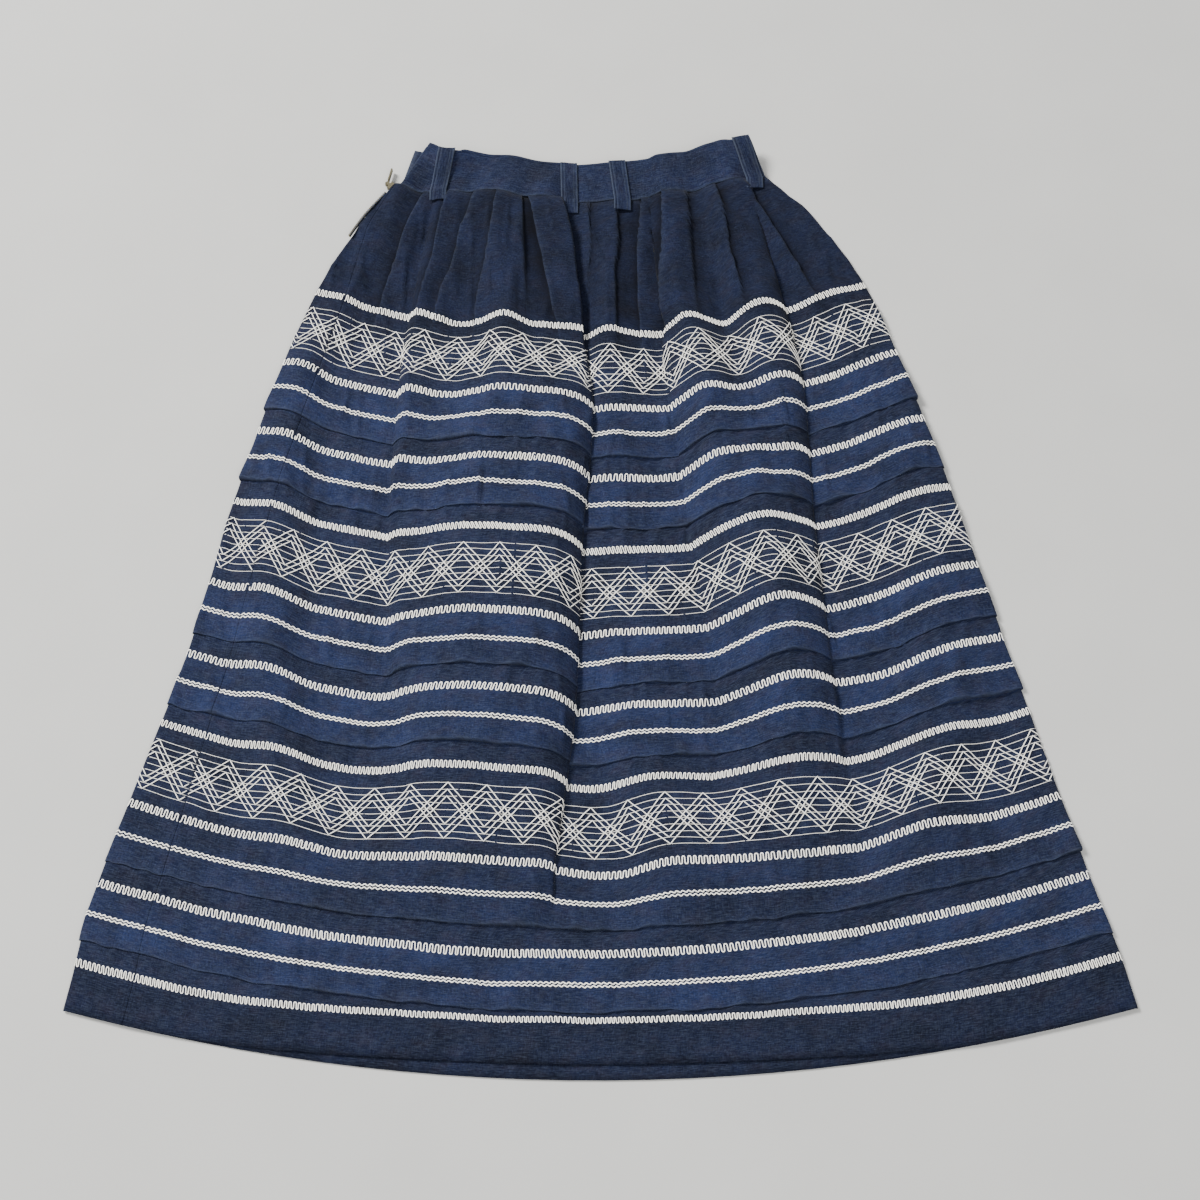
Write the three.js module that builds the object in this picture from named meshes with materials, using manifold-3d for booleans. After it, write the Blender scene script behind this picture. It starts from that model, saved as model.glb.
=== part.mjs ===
// A gathered, tucked A-line skirt laid flat: panels, waistband halves, belt loops and a side zip.
// Millimetres. +X runs to the right of the laid skirt, +Y from the hem to the waist, +Z up.
// The origin is on the surface that it lies on, in the middle of its outline.
import * as THREE from 'three';
import { mergeVertices } from 'three/addons/utils/BufferGeometryUtils.js';
import Module from 'manifold-3d';

// Driving sizes
const CLOTH = 1.5;
const SEAM_GAP = 0.3;
const SKIRT_LENGTH = 780;
const BAND_HEIGHT = 38;
const BAND_CLOTH = 2.2;
const BAND_LIP = 0.8;
const LAYER = 2 * CLOTH + SEAM_GAP;
const SLIP = 0.6;
const MIDDLE = { x: 0.5, y: 3.93 };

// The outline of each row of the cloth, given by its distance below the waist seam
const EDGES = [
  { row: 0, leftX: -184, leftY: 366, rightX: 150, rightY: 375, sag: 20, strip: 2 },
  { row: 40, leftX: -211, leftY: 333, rightX: 187, rightY: 341, sag: 33, strip: 8 },
  { row: 128, leftX: -248, leftY: 261, rightX: 232, rightY: 268, sag: 49, strip: 26 },
  { row: 202, leftX: -272, leftY: 190, rightX: 256, rightY: 199, sag: 51, strip: 31 },
  { row: 334, leftX: -306, leftY: 64, rightX: 293, rightY: 74, sag: 53, strip: 34 },
  { row: 474, leftX: -334, leftY: -70, rightX: 327, rightY: -57, sag: 58, strip: 34 },
  { row: 614, leftX: -370, leftY: -194, rightX: 362, rightY: -188, sag: 61, strip: 42 },
  { row: 700, leftX: -393, leftY: -276, rightX: 384, rightY: -270, sag: 58, strip: 46 },
  { row: 746, leftX: -399, leftY: -318, rightX: 397, rightY: -313, sag: 57, strip: 46 },
  { row: 780, leftX: -405, leftY: -354, rightX: 406, rightY: -352, sag: 52, strip: 46 },
];

// The large folds. x and high are taken at these rows; reach is at the hip and low down
const FOLD_ROWS = [0, 128, 202, 334, 474, 614];
const HIP_ROW = 128;
const LOW_ROW = 614;
const FOLDS = [
  { name: 'left_rim', x: [-178, -222, -254, -268, -268, -240], high: [5, 3, 7, 7, 8, 5],
    left: [22, 42], right: [18, 48], full: [1, 1] },
  { name: 'left_step', x: [-140, -157, -161, -163, -152, -130], high: [4, 7, 9, 9, 5, 2],
    left: [11, 36], right: [60, 80], full: [1, 1] },
  { name: 'hip_ridge', x: [-92, -82, -82, -82, -82, -82], high: [4, 8, 1, 0, 0, 0],
    left: [26, 30], right: [26, 30], full: [1, 1] },
  { name: 'main_left', x: [-90, -80, -70, -78, -82, -97], high: [5, 11, 20, 22, 22, 13],
    left: [48, 118], right: [61, 61], full: [1.3, 4.5] },
  { name: 'centre_lip', x: [-45, -24, -22, -22, -22, -22], high: [2, 5, 1, 0, 0, 0],
    left: [20, 24], right: [12, 16], full: [1, 1.4] },
  { name: 'low_lip', x: [-40, -40, -40, -40, -40, -42], high: [0, 0, 0, 0, 0, 6],
    left: [30, 30], right: [40, 40], full: [1, 1] },
  { name: 'centre_hump', x: [4, 5, 8, 8, 20, 60], high: [1, 8, 5, 2, 3, 5],
    left: [20, 50], right: [40, 70], full: [1, 1] },
  { name: 'right_crest', x: [56, 73, 92, 118, 146, 135], high: [5, 14, 16, 18, 13, 5],
    left: [24, 60], right: [40, 60], full: [1, 1] },
  { name: 'right_second', x: [108, 135, 149, 155, 165, 180], high: [6, 16, 18, 14, 7, 3],
    left: [30, 55], right: [26, 32], full: [1, 1.5] },
  { name: 'right_rim', x: [140, 200, 238, 262, 278, 252], high: [3, 4, 4, 7, 8, 11],
    left: [34, 64], right: [30, 60], full: [1, 1] },
  { name: 'low_swell', x: [40, 40, 40, 40, 40, 60], high: [0, 0, 0, 0, 5, 8],
    left: [50, 50], right: [110, 120], full: [1, 1] },
];
const FOLD_FADE = { from: 600, to: 690 };
const HEM_LIFT = { from: 726, to: 746, high: 11.5, middle: -10, reach: 340, full: 1.4 };

// Knife pleats under the waistband: where each lip starts and ends, how far down it runs,
// how high its lip stands, and the side (-1 left, 1 right) that the lip drops to
const PLEATS = [
  { waist: -153, hip: -200, run: 150, high: 4.5, side: -1 },
  { waist: -133, hip: -160, run: 130, high: 3.2, side: -1 },
  { waist: -109, hip: -140, run: 135, high: 3.2, side: -1 },
  { waist: -89, hip: -104, run: 135, high: 3.2, side: 1 },
  { waist: -68, hip: -40, run: 150, high: 4, side: 1 },
  { waist: -42, hip: -17, run: 140, high: 4.5, side: 1 },
  { waist: -10, hip: -11, run: 90, high: 3, side: 1 },
  { waist: 15, hip: 12, run: 140, high: 3.5, side: 1 },
  { waist: 39, hip: 35, run: 140, high: 4.5, side: 1 },
  { waist: 57, hip: 68, run: 120, high: 3.2, side: -1 },
  { waist: 83, hip: 88, run: 100, high: 3, side: 1 },
  { waist: 107, hip: 112, run: 130, high: 4, side: 1 },
  { waist: 126, hip: 160, run: 110, high: 3.2, side: 1 },
];
const PLEAT_LIP = 3;
const PLEAT_REACH = 19;
const PLEAT_BEND = 0.8;
const OTHER_COLUMNS = [-175, -30];
const PLEAT_COLUMNS_END = { from: 12, to: 128 };

// Sewn tucks: the cloth thickens from the stitched line and steps down at the fold
const TUCKS = [
  { sewn: 202, fold: 248 }, { sewn: 268, fold: 314 },
  { sewn: 408, fold: 454 }, { sewn: 474, fold: 520 },
  { sewn: 614, fold: 660 }, { sewn: 680, fold: 726 },
];
const TUCK_STEP = 1.4;
const TUCK_RAMP = 10;
const TUCK_DROP = 0.8;

// Rows of the panels' grids in the yoke, and between the tucks
const YOKE_ROWS = [0, 12, 30, 52, 76, 102, 128, 165, 202];
const MIDDLE_ROWS = [334, 371, 540, 577, 746, 763];

// Feet of the folds that the front's columns follow, beside their crests at the hip
const FEET = { leftStep: 11, leftStepLow: 25, mainSlope: 42, mainFoot: 61,
  rightCrest: 24, rightCrestLow: 37, rightSecond: 26 };

// Where the floor layer's columns lie, as shares of its width
const FLOOR_COLUMNS = [0, 0.01, 0.03, 0.1, 0.25, 0.4, 0.55, 0.7, 0.85, 0.95, 1];

// Waistband: x at the waist seam and at the top edge, and how high the top edge stands
const BAND_FRONT = { topLeft: -152, topRight: 133 };
const BAND_BACK = { topLeft: -167, topRight: 130, rise: 36, corner: 6, cornerShare: 0.25 };
const BAND_TOP = { x: [-150, -100, -50, -38, 0, 50, 100, 133], z: [18, 14, 11, 7, 9, 11, 15, 19] };

// Belt loops: middle of each at the band's top and at its own lower end
const LOOPS = [
  { top: -136, low: -144 }, { top: -28, low: -27 }, { top: 15, low: 20 }, { top: 125, low: 138 },
];
const LOOP = { width: 15, clear: 0.9, loose: 0.6, samples: 24, keep: 6,
  stations: [0, 8, 16, 24, 32, 37.5, 40, 43, 47] };

// Side zip: chain along the left fold, slider at its top, and the pull tab on an upright post
const ZIP = { from: 9, to: 60, tall: 3.2, thick: 1.2, middle: 4.1, steps: 8 };
const SLIDER = { row: 2, long: 7, thick: 3, low: 1.8, high: 6.4, postOut: 2.5,
  armLong: 3.8, armWide: 2.4, armThick: 0.8, armSunk: 0.5 };
const POST_RADIUS = 0.8;
const TAB = { hole: 1.15, eye: 2.1, eyeLow: 2.9, eyeHigh: 5.3, low: 2, high: 6.2, from: 1.6, to: 15.5,
  thick: 1.2, neck: 2, lean: 13 };
const ROUND_SIDES = 20;

// Smooth value at t through a column of a table (Catmull-Rom)
function through(t, xs, ys) {
  const last = xs.length - 1;
  if (t <= xs[0]) return ys[0];
  if (t >= xs[last]) return ys[last];
  let i = 0;
  while (xs[i + 1] < t) i += 1;
  const h = xs[i + 1] - xs[i];
  const rise = ys[i + 1] - ys[i];
  const before = i > 0 ? (ys[i + 1] - ys[i - 1]) / (xs[i + 1] - xs[i - 1]) : rise / h;
  const after = i + 1 < last ? (ys[i + 2] - ys[i]) / (xs[i + 2] - xs[i]) : rise / h;
  const s = (t - xs[i]) / h;
  const q = 1 - s;
  return (1 + 2 * s) * q * q * ys[i] + s * q * q * h * before
    + s * s * (3 - 2 * s) * ys[i + 1] - s * s * q * h * after;
}

const smooth = (t) => {
  const s = Math.min(1, Math.max(0, t));
  return s * s * (3 - 2 * s);
};

// One flank of a fold: 1 on the crest, 0 at its foot; a larger fullness keeps it high for longer
const flank = (t, full) => (t < 1 ? 0.5 + 0.5 * Math.cos(Math.PI * t ** full) : 0);

const EDGE_ROWS = EDGES.map((edge) => edge.row);
const edge = (row, column) => through(row, EDGE_ROWS, EDGES.map((entry) => entry[column]));

// 0 down to the hip, 1 low down: how far the folds have widened
const widened = (row) => Math.sqrt(Math.min(1, Math.max(0, (row - HIP_ROW) / (LOW_ROW - HIP_ROW))));

function foldHeight(x, row) {
  const low = widened(row);
  const fade = 1 - smooth((row - FOLD_FADE.from) / (FOLD_FADE.to - FOLD_FADE.from));
  let z = 0;
  for (const fold of FOLDS) {
    const crest = through(row, FOLD_ROWS, fold.x);
    const high = Math.max(0, through(row, FOLD_ROWS, fold.high)) * fade;
    const [hip, knee] = x < crest ? fold.left : fold.right;
    const full = x < crest ? fold.full[0] : fold.full[1];
    z += high * flank(Math.abs(x - crest) / (hip + (knee - hip) * low), full);
  }
  return z;
}

const lipAt = (pleat, row) => (
  THREE.MathUtils.lerp(pleat.waist, pleat.hip, Math.min(1, row / pleat.run) ** PLEAT_BEND)
);

// A pleat stands on its lip and drops within PLEAT_LIP on one side
function pleatHeight(x, row) {
  let z = 0;
  for (const pleat of PLEATS) {
    const t = row / pleat.run;
    if (t >= 1) continue;
    const ahead = (x - lipAt(pleat, row)) * pleat.side;
    const shape = ahead > 0 ? 1 - smooth(ahead / PLEAT_LIP) : 1 - smooth(-ahead / PLEAT_REACH);
    z += pleat.high * (1 - smooth(t)) * shape;
  }
  return z;
}

function tuckHeight(row) {
  for (const tuck of TUCKS) {
    if (row >= tuck.sewn && row <= tuck.fold) return TUCK_STEP * smooth((row - tuck.sewn) / TUCK_RAMP);
  }
  return 0;
}

// Where a point of the cloth would lie with no fold in it
function flatY(x, row) {
  const leftX = edge(row, 'leftX');
  const rightX = edge(row, 'rightX');
  const leftY = edge(row, 'leftY');
  const rightY = edge(row, 'rightY');
  const across = (2 * x - leftX - rightX) / (rightX - leftX);
  return (leftY + rightY) / 2 + (rightY - leftY) / 2 * across - edge(row, 'sag') * (1 - across * across);
}

function hemLift(x, row) {
  const reach = Math.abs(x - HEM_LIFT.middle) / HEM_LIFT.reach;
  return HEM_LIFT.high * smooth((row - HEM_LIFT.from) / (HEM_LIFT.to - HEM_LIFT.from))
    * flank(reach, HEM_LIFT.full);
}

// The upper face of the top layer, without the tucks' thickness
function topPoint(x, row) {
  const z = foldHeight(x, row) + pleatHeight(x, row);
  const y = flatY(x, row) + SLIP * foldHeight(x, row) + hemLift(x, row);
  return new THREE.Vector3(x, y, LAYER + z);
}

// The face of a wall under a surface: square to it, and upright at the cloth's two raw ends
function offset(surface, x, row, distance) {
  if (row === 0 || row === SKIRT_LENGTH) return surface(x, row).add(new THREE.Vector3(0, 0, distance));
  const step = 0.5;
  const across = surface(x + step, row).sub(surface(x - step, row));
  const down = surface(x, row + step).sub(surface(x, Math.max(0, row - step)));
  const normal = down.cross(across).normalize();
  return surface(x, row).addScaledVector(normal, distance);
}

// A closed wall between two faces, each a grid of points [row][column]
function wall(outer, inner) {
  const rows = outer.length;
  const columns = outer[0].length;
  const positions = [];
  const index = [];
  for (const face of [outer, inner]) {
    for (const line of face) {
      for (const point of line) positions.push(point.x - MIDDLE.x, point.y - MIDDLE.y, point.z);
    }
  }
  const at = (side, r, c) => (side * rows + r) * columns + c;
  const quad = (a, b, c, d) => index.push(a, b, c, a, c, d);
  for (let r = 0; r + 1 < rows; r += 1) {
    for (let c = 0; c + 1 < columns; c += 1) {
      quad(at(0, r, c), at(0, r + 1, c), at(0, r + 1, c + 1), at(0, r, c + 1));
      quad(at(1, r, c), at(1, r, c + 1), at(1, r + 1, c + 1), at(1, r + 1, c));
    }
    quad(at(0, r, 0), at(1, r, 0), at(1, r + 1, 0), at(0, r + 1, 0));
    quad(at(0, r, columns - 1), at(0, r + 1, columns - 1), at(1, r + 1, columns - 1), at(1, r, columns - 1));
  }
  for (let c = 0; c + 1 < columns; c += 1) {
    quad(at(0, 0, c), at(0, 0, c + 1), at(1, 0, c + 1), at(1, 0, c));
    quad(at(0, rows - 1, c), at(1, rows - 1, c), at(1, rows - 1, c + 1), at(0, rows - 1, c + 1));
  }
  const geometry = new THREE.BufferGeometry();
  geometry.setAttribute('position', new THREE.Float32BufferAttribute(positions, 3));
  geometry.setIndex(index);
  return geometry;
}

// Rows of the panels' grids: close together at each tuck's fold
function panelRows() {
  const rows = [...YOKE_ROWS];
  for (const tuck of TUCKS) {
    if (tuck.sewn > rows.at(-1)) rows.push(tuck.sewn);
    rows.push(tuck.sewn + TUCK_RAMP, tuck.fold, tuck.fold + TUCK_DROP);
  }
  return [...rows, ...MIDDLE_ROWS, SKIRT_LENGTH].sort((a, b) => a - b);
}
const ROWS = panelRows();

// Guide lines down the front, each with the number of columns on its left
function guides(row) {
  const crest = (name) => through(row, FOLD_ROWS, FOLDS.find((fold) => fold.name === name).x);
  const low = widened(row);
  const main = crest('main_left');
  return [
    { x: edge(row, 'leftX') + edge(row, 'strip'), columns: 0 },
    { x: crest('left_step') - FEET.leftStep - FEET.leftStepLow * low, columns: 6 },
    { x: crest('left_step'), columns: 2 },
    { x: main, columns: 5 },
    { x: main + FEET.mainSlope, columns: 3 },
    { x: main + FEET.mainFoot, columns: 4 },
    { x: crest('right_crest') - FEET.rightCrest - FEET.rightCrestLow * low, columns: 5 },
    { x: crest('right_crest'), columns: 3 },
    { x: crest('right_second'), columns: 4 },
    { x: crest('right_second') + FEET.rightSecond, columns: 3 },
    { x: crest('right_rim'), columns: 3 },
    { x: edge(row, 'rightX') - LAYER / 2, columns: 4 },
  ];
}

// Down to the hip the columns move over from the pleats' lips and feet to the guide lines
function pleatColumns(row) {
  const xs = [];
  for (const pleat of PLEATS) {
    const lip = lipAt(pleat, row);
    xs.push(lip - pleat.side * PLEAT_REACH / 2, lip, lip + pleat.side * PLEAT_LIP);
  }
  xs.push(...OTHER_COLUMNS);
  return xs.sort((a, b) => a - b);
}

function frontColumns(row) {
  const lines = guides(row);
  const xs = [lines[0].x];
  for (let i = 1; i < lines.length; i += 1) {
    const start = lines[i - 1].x;
    for (let k = 1; k <= lines[i].columns; k += 1) {
      xs.push(start + (lines[i].x - start) * k / lines[i].columns);
    }
  }
  const pleats = pleatColumns(row);
  const { from, to } = PLEAT_COLUMNS_END;
  const blend = 1 - smooth((row - from) / (to - from));
  return xs.map((x, k) => {
    const inside = k > 0 && k < xs.length - 1;
    return inside ? x + (pleats[k - 1] - x) * blend : x;
  });
}

// Round a fold at the outline, from the top layer down to the surface below
function roll(edgeX, y, top, side, inset) {
  const radius = LAYER / 2;
  const points = [];
  for (const degrees of [45, 0, -45, -90]) {
    const angle = THREE.MathUtils.degToRad(degrees);
    const x = edgeX - side * radius + side * (radius - inset) * Math.cos(angle);
    points.push(new THREE.Vector3(x, y, top / 2 + (top / 2 - inset) * Math.sin(angle)));
  }
  return points;
}

function frontPanel() {
  const outer = [];
  const inner = [];
  for (const row of ROWS) {
    const edgeX = edge(row, 'rightX');
    const columns = frontColumns(row);
    const last = columns.at(-1);
    const edgeTop = topPoint(last, row);
    const raised = (x) => topPoint(x, row).add(new THREE.Vector3(0, 0, tuckHeight(row)));
    outer.push([...columns.map(raised), ...roll(edgeX, edgeTop.y, edgeTop.z + tuckHeight(row), 1, 0)]);
    inner.push([...columns.map((x) => offset(topPoint, x, row, -CLOTH)),
      ...roll(edgeX, edgeTop.y, edgeTop.z, 1, CLOTH)]);
  }
  return wall(outer, inner);
}

// Columns of the layer on the floor, from the left fold to just short of the right one
function backFloor(row) {
  const turn = edge(row, 'leftX') + LAYER / 2;
  const far = edge(row, 'rightX') - LAYER / 2 - SEAM_GAP;
  return FLOOR_COLUMNS.map((t) => turn + (far - turn) * t);
}

function backPanel() {
  const outer = [];
  const inner = [];
  for (const row of ROWS) {
    const edgeX = edge(row, 'leftX');
    const [turn, ...floor] = backFloor(row);
    const width = Math.max(SEAM_GAP / 2, edge(row, 'strip') - SEAM_GAP - LAYER / 2);
    const strip = [1, 0.75, 0.5, 0.25, 0].map((t) => turn + width * t);
    const edgeTop = topPoint(turn, row);
    const raised = (x) => topPoint(x, row).add(new THREE.Vector3(0, 0, tuckHeight(row)));
    const onFloor = (z) => floor.map((x) => new THREE.Vector3(x, flatY(x, row), z));
    outer.push([...strip.map(raised),
      ...roll(edgeX, edgeTop.y, edgeTop.z + tuckHeight(row), -1, 0), ...onFloor(0)]);
    inner.push([...strip.map((x) => offset(topPoint, x, row, -CLOTH)),
      ...roll(edgeX, edgeTop.y, edgeTop.z, -1, CLOTH), ...onFloor(CLOTH)]);
  }
  return wall(inner, outer);
}

// The band starts one column in from the zip, on the panel's own columns
const BAND_XS = frontColumns(0).slice(1);

// Upper face of the front waistband: up is 0 at the waist seam and 1 at the top edge
function bandPoint(lowX, up) {
  const across = (lowX - BAND_XS[0]) / (BAND_XS.at(-1) - BAND_XS[0]);
  const topX = THREE.MathUtils.lerp(BAND_FRONT.topLeft, BAND_FRONT.topRight, across);
  const low = topPoint(lowX, 0);
  const lowZ = Math.max(low.z + BAND_LIP, 2 * BAND_CLOTH + SEAM_GAP);
  const topZ = through(topX, BAND_TOP.x, BAND_TOP.z);
  const rise = Math.sqrt(BAND_HEIGHT ** 2 - (topZ - lowZ) ** 2);
  return new THREE.Vector3(
    THREE.MathUtils.lerp(lowX, topX, up),
    low.y + SEAM_GAP + rise * up,
    THREE.MathUtils.lerp(lowZ, topZ, smooth(up)),
  );
}

function thickened(line, distance) {
  return line.map((point) => point.clone().setZ(point.z + distance));
}

function waistbandFront() {
  const outer = [1, 0.75, 0.5, 0.25, 0].map((up) => BAND_XS.map((x) => bandPoint(x, up)));
  return wall(outer, outer.map((line) => thickened(line, -BAND_CLOTH)));
}

function waistbandBack() {
  const columns = backFloor(0).slice(2);
  const span = columns.at(-1) - columns[0];
  const outer = [1, 0.5, 0].map((up) => columns.map((lowX) => {
    const across = (lowX - columns[0]) / span;
    const topX = THREE.MathUtils.lerp(BAND_BACK.topLeft, BAND_BACK.topRight, across);
    const rise = BAND_BACK.rise + BAND_BACK.corner * (1 - smooth(across / BAND_BACK.cornerShare));
    const x = THREE.MathUtils.lerp(lowX, topX, up);
    return new THREE.Vector3(x, flatY(lowX, 0) + SEAM_GAP + rise * up, BAND_CLOTH);
  }));
  return wall(outer, outer.map((line) => thickened(line, -BAND_CLOTH)));
}

// The band's column whose face lies at x, at that height up the band
function bandColumn(x, up) {
  const from = THREE.MathUtils.lerp(BAND_XS[0], BAND_FRONT.topLeft, up);
  const to = THREE.MathUtils.lerp(BAND_XS.at(-1), BAND_FRONT.topRight, up);
  return THREE.MathUtils.lerp(BAND_XS[0], BAND_XS.at(-1), (x - from) / (to - from));
}

// A loop lies on the band and, below its seam, on the panel, and spans the hollows under it
function beltLoop(loop) {
  const inner = [];
  for (const down of LOOP.stations) {
    const up = Math.max(0, 1 - down / BAND_HEIGHT);
    const row = Math.max(0, down - BAND_HEIGHT);
    const middle = THREE.MathUtils.lerp(loop.low, loop.top, up);
    const line = [];
    for (let k = 0; k <= LOOP.samples; k += 1) {
      const x = middle + (k / LOOP.samples - 0.5) * LOOP.width;
      line.push(row === 0 ? bandPoint(bandColumn(x, up), up)
        : topPoint(x, row).add(new THREE.Vector3(0, 0, BAND_LIP)));
    }
    const chord = (k) => THREE.MathUtils.lerp(line[0].z, line.at(-1).z, k / LOOP.samples);
    const bulge = Math.max(...line.map((point, k) => point.z - chord(k)));
    const clear = bulge + LOOP.clear + (row > 0 ? LOOP.loose : 0);
    const points = line.map((point, k) => new THREE.Vector3(point.x, point.y, chord(k) + clear));
    inner.push(points.filter((point, k) => k % LOOP.keep === 0));
  }
  return wall(inner.map((line) => thickened(line, CLOTH)), inner);
}

// A point beside the left fold: out from the outline at that row, and the way that the fold runs
function besideFold(row, out) {
  const spot = (at) => {
    const x = edge(at, 'leftX');
    return new THREE.Vector2(x, topPoint(x + LAYER / 2, at).y);
  };
  const along = spot(row + 1).sub(spot(row)).normalize();
  const outward = new THREE.Vector2(along.y, -along.x);
  return { at: spot(row).addScaledVector(outward, out), along, outward };
}

function zipChain() {
  const outer = [];
  const inner = [];
  for (let r = 0; r <= ZIP.steps; r += 1) {
    const row = THREE.MathUtils.lerp(ZIP.from, ZIP.to, r / ZIP.steps);
    const near = besideFold(row, SEAM_GAP).at;
    const far = besideFold(row, SEAM_GAP + ZIP.thick).at;
    const heights = [ZIP.middle + ZIP.tall / 2, ZIP.middle - ZIP.tall / 2];
    outer.push(heights.map((z) => new THREE.Vector3(far.x, far.y, z)));
    inner.push(heights.map((z) => new THREE.Vector3(near.x, near.y, z)));
  }
  return wall(inner, outer);
}

const wasm = await Module();
wasm.setup();

function solid(geometry) {
  geometry.deleteAttribute('normal');
  geometry.deleteAttribute('uv');
  const merged = mergeVertices(geometry, 0.0001);
  const mesh = new wasm.Mesh({
    numProp: 3,
    vertProperties: new Float32Array(merged.attributes.position.array),
    triVerts: new Uint32Array(merged.index.array),
  });
  return new wasm.Manifold(mesh);
}

function joined(solids) {
  const mesh = solids.reduce((whole, next) => whole.add(next)).getMesh();
  const geometry = new THREE.BufferGeometry();
  geometry.setAttribute('position', new THREE.BufferAttribute(mesh.vertProperties.slice(), 3));
  geometry.setIndex(new THREE.BufferAttribute(mesh.triVerts.slice(), 1));
  return geometry;
}

// A block on the floor plan: its length runs along `angle`, its middle is at x, y
function block(x, y, angle, long, thick, low, high) {
  const geometry = new THREE.BoxGeometry(long, thick, high - low);
  geometry.rotateZ(angle);
  geometry.translate(x, y, (low + high) / 2);
  return solid(geometry);
}

// A disc with an optional hole, standing on z = low
function disc(x, y, radius, hole, low, high) {
  const shape = new THREE.Shape();
  shape.absarc(0, 0, radius, 0, 2 * Math.PI);
  if (hole > 0) shape.holes.push(new THREE.Path().absarc(0, 0, hole, 0, 2 * Math.PI, true));
  const options = { depth: high - low, bevelEnabled: false, curveSegments: ROUND_SIDES };
  const geometry = new THREE.ExtrudeGeometry(shape, options);
  geometry.translate(x, y, low);
  return solid(geometry);
}

// The slider hugs the fold; its post is held above and below by two arms
function zipSlider() {
  const body = besideFold(SLIDER.row, SEAM_GAP + SLIDER.thick / 2);
  const arm = besideFold(SLIDER.row, SEAM_GAP + SLIDER.thick + SLIDER.armLong / 2 - SLIDER.armSunk);
  const post = postSpot();
  const along = Math.atan2(body.along.y, body.along.x);
  const out = Math.atan2(body.outward.y, body.outward.x);
  const { low, high, armLong, armWide, armThick } = SLIDER;
  return joined([
    block(body.at.x, body.at.y, along, SLIDER.long, SLIDER.thick, low, high),
    block(arm.at.x, arm.at.y, out, armLong, armWide, low, low + armThick),
    block(arm.at.x, arm.at.y, out, armLong, armWide, high - armThick, high),
    disc(post.x, post.y, POST_RADIUS, 0, low + armThick / 2, high - armThick / 2),
  ]).translate(-MIDDLE.x, -MIDDLE.y, 0);
}

function postSpot() {
  return besideFold(SLIDER.row, SEAM_GAP + SLIDER.thick + SLIDER.postOut).at;
}

// The tab is modelled about its post, and lies along the fold of the waistband at rest
function zipPull() {
  const middle = (TAB.from + TAB.to) / 2;
  return joined([
    disc(0, 0, TAB.eye, TAB.hole, TAB.eyeLow, TAB.eyeHigh),
    block(0, middle, Math.PI / 2, TAB.to - TAB.from, TAB.thick, TAB.eyeLow, TAB.eyeHigh),
    block(0, middle + TAB.neck / 2, Math.PI / 2, TAB.to - TAB.from - TAB.neck, TAB.thick, TAB.low, TAB.high),
  ]);
}

const material = (color, roughness, metalness = 0) => (
  new THREE.MeshStandardMaterial({ color, roughness, metalness })
);
const denim = material('#263350', 0.92);
const darkDenim = material('#222d47', 0.92);
const brass = material('#6f6444', 0.5, 0.7);

const skirt = new THREE.Group();

function add(name, geometry, finish) {
  geometry.computeVertexNormals();
  const mesh = new THREE.Mesh(geometry, finish);
  mesh.name = name;
  skirt.add(mesh);
  return mesh;
}

add('front_panel', frontPanel(), denim);
add('back_panel', backPanel(), darkDenim);
add('waistband_front', waistbandFront(), denim);
add('waistband_back', waistbandBack(), darkDenim);
LOOPS.forEach((loop, i) => add(`belt_loop_${i + 1}`, beltLoop(loop), denim));
add('zip_chain', zipChain(), brass);
add('zip_slider', zipSlider(), brass);
const pull = add('zip_pull', zipPull(), brass);
pull.position.set(postSpot().x - MIDDLE.x, postSpot().y - MIDDLE.y, 0);
pull.rotation.z = THREE.MathUtils.degToRad(-TAB.lean);

export default skirt;
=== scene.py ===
"""An embroidered denim skirt laid flat: cloth, thread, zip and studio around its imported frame.

The tables hold the skirt's sizes in millimetres as it lies, with X to the right, Y from the hem
to the waist and Z up. Each mesh is made in metres about the middle of the skirt's outline.
"""
import math

import bpy
import numpy as np
from mathutils import Matrix, Vector


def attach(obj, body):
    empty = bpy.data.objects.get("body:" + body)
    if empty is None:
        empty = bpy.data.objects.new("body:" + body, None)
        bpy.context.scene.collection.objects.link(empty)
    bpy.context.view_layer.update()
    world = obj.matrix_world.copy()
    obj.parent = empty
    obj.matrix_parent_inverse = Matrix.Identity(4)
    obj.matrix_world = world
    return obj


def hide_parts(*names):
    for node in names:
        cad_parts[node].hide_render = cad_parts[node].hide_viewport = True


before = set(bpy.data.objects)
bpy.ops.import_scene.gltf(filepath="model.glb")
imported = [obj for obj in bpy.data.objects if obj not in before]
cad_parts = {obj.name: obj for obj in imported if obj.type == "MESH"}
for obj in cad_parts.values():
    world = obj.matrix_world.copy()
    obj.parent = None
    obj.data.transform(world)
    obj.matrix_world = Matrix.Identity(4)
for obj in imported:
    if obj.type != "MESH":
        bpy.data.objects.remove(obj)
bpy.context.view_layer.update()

bl_info = {
    "name": "Embroidered Denim Skirt",
    "version": (1, 0, 0),
    "blender": (4, 5, 0),
    "location": "3D View > Sidebar > Skirt",
    "description": "Builds a tucked and embroidered denim skirt, laid flat in a studio",
    "category": "Add Mesh",
}

MM = 0.001
MIDDLE = np.array((0.5, 3.93, 0.0))

# The laid skirt, as in the part's source: its length below the waist seam, and the band's
# height and thickness, and how far the band stands over the pleats
SKIRT_LENGTH = 780.0
BAND_HEIGHT = 38.0
BAND_CLOTH = 2.2
BAND_LIP = 0.8
# Gaps between the solids at a seam, and between the finer cloths at the side seam
SEAM_GAP = 0.3
SEAM_SLIT = 0.12
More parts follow.
